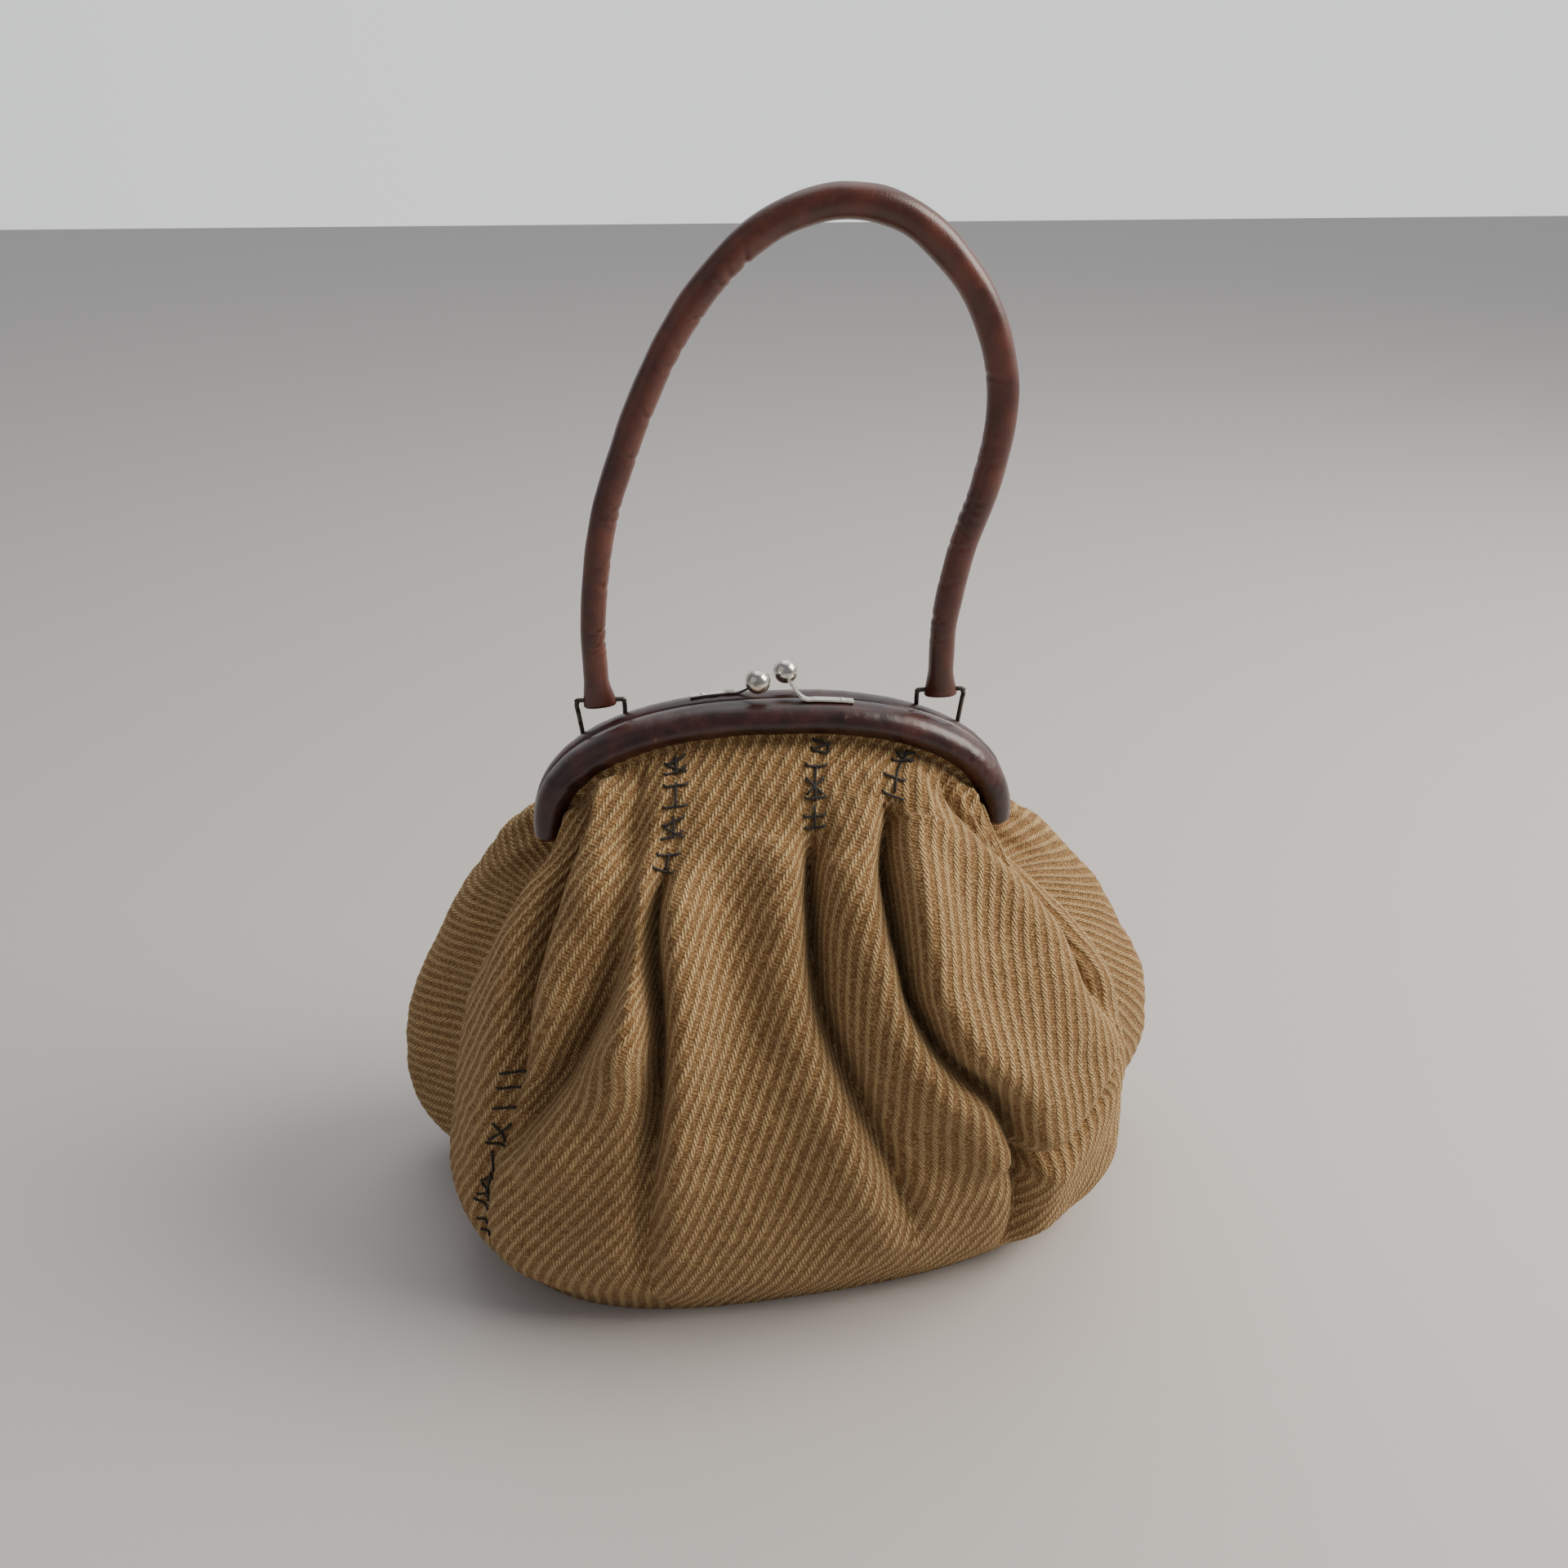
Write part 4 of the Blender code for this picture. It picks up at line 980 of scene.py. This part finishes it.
@dataclass(frozen=True)
class HandleSize:
    """The rolled handle's centreline and thickness, in metres and in shares of the span and rise."""

    span: float = 0.1376
    base: float = 0.2465
    rise: float = 0.1895
    radius: float = 0.00575
    line: float = 0.008
    tab_length: float = 0.013
    tab_half_width: float = 0.0068
    tab_half_depth: float = 0.0036
    path: tuple[tuple[float, float], ...] = (
        (-0.500, 0.000), (-0.508, 0.066), (-0.508, 0.175), (-0.490, 0.299), (-0.463, 0.401),
        (-0.419, 0.501), (-0.360, 0.609), (-0.297, 0.706), (-0.225, 0.793), (-0.147, 0.866),
        (-0.066, 0.923), (0.025, 0.966), (0.117, 0.990), (0.205, 0.997), (0.295, 0.987),
        (0.380, 0.959), (0.463, 0.908), (0.536, 0.843), (0.589, 0.768), (0.620, 0.691),
        (0.630, 0.613), (0.619, 0.533), (0.594, 0.451), (0.564, 0.383), (0.537, 0.314),
        (0.516, 0.244), (0.502, 0.173), (0.499, 0.098), (0.500, 0.000),
    )
    swell: tuple[tuple[float, float], ...] = (
        (0.000, 0.85), (0.060, 0.85), (0.200, 0.92), (0.400, 1.00), (0.520, 1.10),
        (0.680, 1.05), (0.850, 0.95), (0.940, 0.88), (1.000, 0.88),
    )


@dataclass
class Handle:
    """The rolled leather handle with flexing creases on the inside of its bends.

    The middle is the point that the creases face, as metres to the right and a share of the rise.
    The creases are (start, end, count) along the handle.
    """

    size: HandleSize
    steps: int = 900
    sides: int = 56
    squareness: float = 2.15
    middle: tuple[float, float] = (0.02, 0.45)
    tip_length: float = 0.0016
    tip_width: float = 0.72
    tip_depth: float = 0.45
    waver: float = 0.00014
    crease_half: tuple[float, float] = (0.0007, 0.0014)
    crease_depth: tuple[float, float] = (0.0001, 0.0003)
    crease_slant: float = 0.004
    lip: float = 0.4
    creases: tuple[tuple[float, float, int], ...] = (
        (0.035, 0.15, 9), (0.17, 0.27, 4), (0.30, 0.42, 8), (0.70, 0.80, 4), (0.82, 0.96, 11),
    )

    def build(self, material: Material) -> Object:
        """Make the handle with its flat ends, uneven roll and creases."""
        size = self.size
        knots = [(x * size.span, size.line, size.base + z * size.rise) for x, z in size.path]
        share = np.linspace(0, 1, self.steps)
        path = smooth_path(knots, self.steps)
        length = along(path)[-1]
        swell = np.array(size.swell)
        roll = size.radius * np.interp(share, swell[:, 0], swell[:, 1])
        from_end = np.minimum(share, 1 - share) * length
        round_part = smooth(from_end / size.tab_length)
        width = size.tab_half_width + (roll - size.tab_half_width) * round_part
        depth = size.tab_half_depth + (roll - size.tab_half_depth) * round_part
        tip = np.sqrt(1 - (1 - np.minimum(from_end / self.tip_length, 1)) ** 2)
        width *= self.tip_width + (1 - self.tip_width) * tip
        depth *= self.tip_depth + (1 - self.tip_depth) * tip
        rings = TubeSection(depth, width, self.sides, self.squareness).rings(path, (0.0, 1.0, 0.0))
        out = unit(rings - path[:, None])
        middle = np.array([self.middle[0], size.line, size.base + self.middle[1] * size.rise])
        facing = (out * unit(middle - path)[:, None]).sum(-1)
        push = self.waver * waves(rings, 61, 10, 0.040, 0.012)
        rng = np.random.default_rng(12)
        for low, high, count in self.creases:
            for place in np.sort(rng.uniform(low, high, count)):
                half, deep = rng.uniform(*self.crease_half), rng.uniform(*self.crease_depth)
                slant = rng.uniform(-self.crease_slant, self.crease_slant)
                apart = (share - place)[:, None] * length + slant * (1 - facing)
                wrap = smooth((facing + 0.5) / 1.1)
                push -= deep * wrap * np.exp(-((apart / half) ** 2))
                push += self.lip * deep * wrap * np.exp(-(((np.abs(apart) - 2.2 * half) / half) ** 2))
        push *= smooth(from_end / 0.003)[:, None]
        rings = rings + out * push[..., None]
        return tube_object("rolled_leather_handle", rings, material)


@dataclass(frozen=True)
class ClaspHalf:
    """One half of the kiss clasp: foot distances, arm points over the frame's top, and ball."""

    name: str
    side: Side
    foot: tuple[float, ...]
    arm: tuple[tuple[float, float, float], ...]
    ball: tuple[float, float, float]


CLASPS: tuple[ClaspHalf, ...] = (
    ClaspHalf("clasp_front", Side.FRONT, (0.0316, 0.0270, 0.0220, 0.0170, 0.0128),
              ((0.0098, -0.0040, 0.0028), (0.0070, -0.0010, 0.0062)), (0.0053, 0.0040, 0.0092)),
    ClaspHalf("clasp_rear", Side.REAR, (-0.0330, -0.0280, -0.0230, -0.0180, -0.0138),
              ((-0.0108, 0.0035, 0.0026), (-0.0080, 0.0000, 0.0058)), (-0.0063, -0.0045, 0.0086)),
)


@dataclass
class Fittings:
    """The clasp halves and the wire loops that carry the handle."""

    frame: FrameSize
    strip_line: float = 0.0050
    strip_width: float = 0.0033
    strip_thickness: float = 0.0012
    strip_gap: float = 0.0003
    ball_radius: float = 0.0050
    rivet_radius: float = 0.0011
    rivet_flatness: float = 0.45
    wire: TubeSection = TubeSection(0.00095, 0.00095, 16)
    loop_line: float = 0.008
    loop_top: float = 0.2495
    loop_foot: float = 0.004
    outer_foot: float = 0.0762
    inner_foot: float = 0.0592
    bend: tuple[tuple[float, float], ...] = (
        (0.0778, -0.0055), (0.0783, -0.0025), (0.0780, -0.0009), (0.0768, 0.0), (0.0606, 0.0),
        (0.0596, -0.0006), (0.0592, -0.0018),
    )

    def clasp(self, half: ClaspHalf, material: Material) -> Object:
        """A flat strip with bevelled edges, its ball, and the rivet's head on its foot."""
        rest = self.strip_thickness / 2 + self.strip_gap
        line = half.side.value * self.strip_line
        knots = [(x, line, self.frame.height(x) + rest) for x in half.foot]
        knots += [(x, y, self.frame.top + z) for x, y, z in half.arm]
        ball = Vector((half.ball[0], half.ball[1], self.frame.top + half.ball[2]))
        strip = TubeSection(self.strip_width / 2, self.strip_thickness / 2, 28, 7.0)
        bm = bmesh.new()
        add_tube(bm, strip.rings(smooth_path(knots + [tuple(ball)], 90), (0.0, 1.0, 0.0)))
        sphere = bmesh.ops.create_uvsphere(bm, u_segments=48, v_segments=28, radius=self.ball_radius)
        bmesh.ops.translate(bm, verts=sphere["verts"], vec=ball)
        rivet = bmesh.ops.create_uvsphere(bm, u_segments=24, v_segments=12, radius=self.rivet_radius)
        x = half.foot[1]
        place = Matrix.Translation((x, line, self.frame.height(x) + rest + self.strip_thickness / 2))
        flat = place @ Matrix.Diagonal((1, 1, self.rivet_flatness, 1))
        bmesh.ops.transform(bm, verts=rivet["verts"], matrix=flat)
        return finish_object(f"nickel_{half.name}", bm, material)

    def loop(self, name: str, hand: int, material: Material) -> Object:
        """A bent wire with both legs in the rear bar."""
        feet = [(x, self.frame.height(x) - self.loop_foot) for x in (self.outer_foot, self.inner_foot)]
        line = [feet[0], *((x, self.loop_top + z) for x, z in self.bend), feet[1]]
        path = smooth_path([(hand * x, self.loop_line, z) for x, z in line], 120)
        return tube_object(f"wire_{name}", self.wire.rings(path, (0.0, 1.0, 0.0)), material)


# Studio


@dataclass(frozen=True)
class SoftLight:
    """A square soft light, with its place and size in metres and its power in watts."""

    name: str
    at: tuple[float, float, float]
    size: float
    power: float
    colour: str
    target: tuple[float, float, float] = (0.0, 0.0, 0.15)

    def place(self) -> None:
        """Add the light to the scene, aimed at the bag."""
        data = bpy.data.lights.new(self.name, "AREA")
        data.size = self.size
        data.energy = self.power
        data.color = linear(self.colour)[:3]
        lamp = add_object(self.name, data)
        lamp.location = self.at
        aim = Vector(self.target) - Vector(self.at)
        lamp.rotation_euler = aim.to_track_quat("-Z", "Y").to_euler()


LIGHTS: tuple[SoftLight, ...] = (
    SoftLight("window", (1.35, -0.15, 1.25), 1.1, 41.0, "#fff6ea"),
    SoftLight("fill", (-1.3, -0.9, 1.0), 1.6, 2.2, "#fff2e0"),
    SoftLight("top", (0.1, 0.5, 1.9), 1.4, 8.0, "#ffffff"),
)


@dataclass(frozen=True)
class Studio:
    """A pale floor, soft light and a camera at the photo's angle."""

    camera_at: tuple[float, float, float] = (-0.03781254, -0.53579122, 0.48658977)
    forward: tuple[float, float, float] = (0.06990757, 0.88825985, -0.4539905)
    right: tuple[float, float, float] = (0.99691733, -0.0784591, 0.0)
    lens: float = 33.75
    sensor: float = 36.0
    floor_half: float = 4.0

    def build(self) -> None:
        """Place the floor, the lights and the camera."""
        bm = bmesh.new()
        bmesh.ops.create_grid(bm, x_segments=2, y_segments=2, size=self.floor_half)
        made, tree, shader = principled("pale floor paper")
        set_inputs(tree, shader, {"Base Color": "#c0bcb9", "Roughness": 0.8})
        floor = finish_object("floor", bm, made)
        for light in LIGHTS:
            light.place()
        self.surround()
        data = bpy.data.cameras.new("photo camera")
        data.lens = self.lens
        data.sensor_width = self.sensor
        camera = add_object("photo camera", data)
        forward, right = Vector(self.forward), Vector(self.right)
        turn = Matrix((right, right.cross(forward), -forward)).transposed()
        camera.matrix_world = Matrix.Translation(self.camera_at) @ turn.to_4x4()
        bpy.context.scene.camera = camera

    def surround(self) -> None:
        """Light all round, brightest from the wall behind the bag and dimmest from the front left."""
        world = bpy.context.scene.world or bpy.data.worlds.new("studio")
        bpy.context.scene.world = world
        world.use_nodes = True
        tree = world.node_tree
        add = partial(add_node, tree)
        direction = add(Step.DIRECTION)
        towards = add(Step.TIMES, add(Step.FIRST, direction), 0.45)
        towards = add(Step.TIMES_PLUS, add(Step.SECOND, direction), 0.8, towards)
        colour = add(Step.BLEND, add(Step.BAND, towards, -0.3, 0.8), "#787a80", "#f2f4f5")
        set_inputs(tree, tree.nodes["Background"], {"Color": colour, "Strength": 1.2})


# The whole scene


def dress(piece: Object, slot: str, *nodes: str) -> None:
    """Tie a piece to the part's root body, and hide the CAD nodes it takes the place of. The slot is not
    used.
    """
    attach(piece, "root")
    if nodes:
        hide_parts(*nodes)


def main() -> None:
    """Build every piece, tie it to the part, and set up the studio."""
    logging.basicConfig(level=logging.INFO, format="%(name)s %(message)s")
    frame_size = FrameSize()
    shape = ClothShape(frame_size, BagSize())
    wool = wool_material(WoolFinish())
    thread = thread_material()
    bar_leather = leather_material(
        LeatherFinish("dark polished bar leather", "#200b08", "#46201a", "#8c6f60", 0.30, 0.8)
    )
    handle_leather = leather_material(
        LeatherFinish("rolled chestnut leather", "#421c12", "#5f2f20", "#80594a", 0.30, 0.30)
    )
    nickel = metal_material("aged nickel", "#d9d6cc", "#8f877a", 0.18)
    dark_wire = metal_material("dark tarnished wire", "#5a554f", "#2c2724", 0.38)
    steel = metal_material("aged steel rivet", "#8f8a82", "#5a5048", 0.35)
    for side in Side:
        dress(ClothPanel(shape, side).build(wool), "cloth_body", "cloth_body")
        slot = f"{side.name.lower()}_bar"
        dress(BarCover(frame_size, side).build(bar_leather), slot)
        frame["nodes"][slot].data.materials[0] = bar_leather
    dress(Underside(shape).build(wool), "cloth_body", "cloth_body")
    for piece in Stitches(shape).build(thread):
        dress(piece, "cloth_body")
    dress(Handle(HandleSize()).build(handle_leather), "handle", "handle")
    fittings = Fittings(frame_size)
    for half in CLASPS:
        dress(fittings.clasp(half, nickel), half.name, half.name)
    for name, hand in (("loop_left", -1), ("loop_right", 1)):
        dress(fittings.loop(name, hand, dark_wire), name, name)
    for name in ("hinge_pin_left", "hinge_pin_right"):
        frame["nodes"][name].data.materials[0] = steel
    Studio().build()


if __name__ == "__main__":
    main()
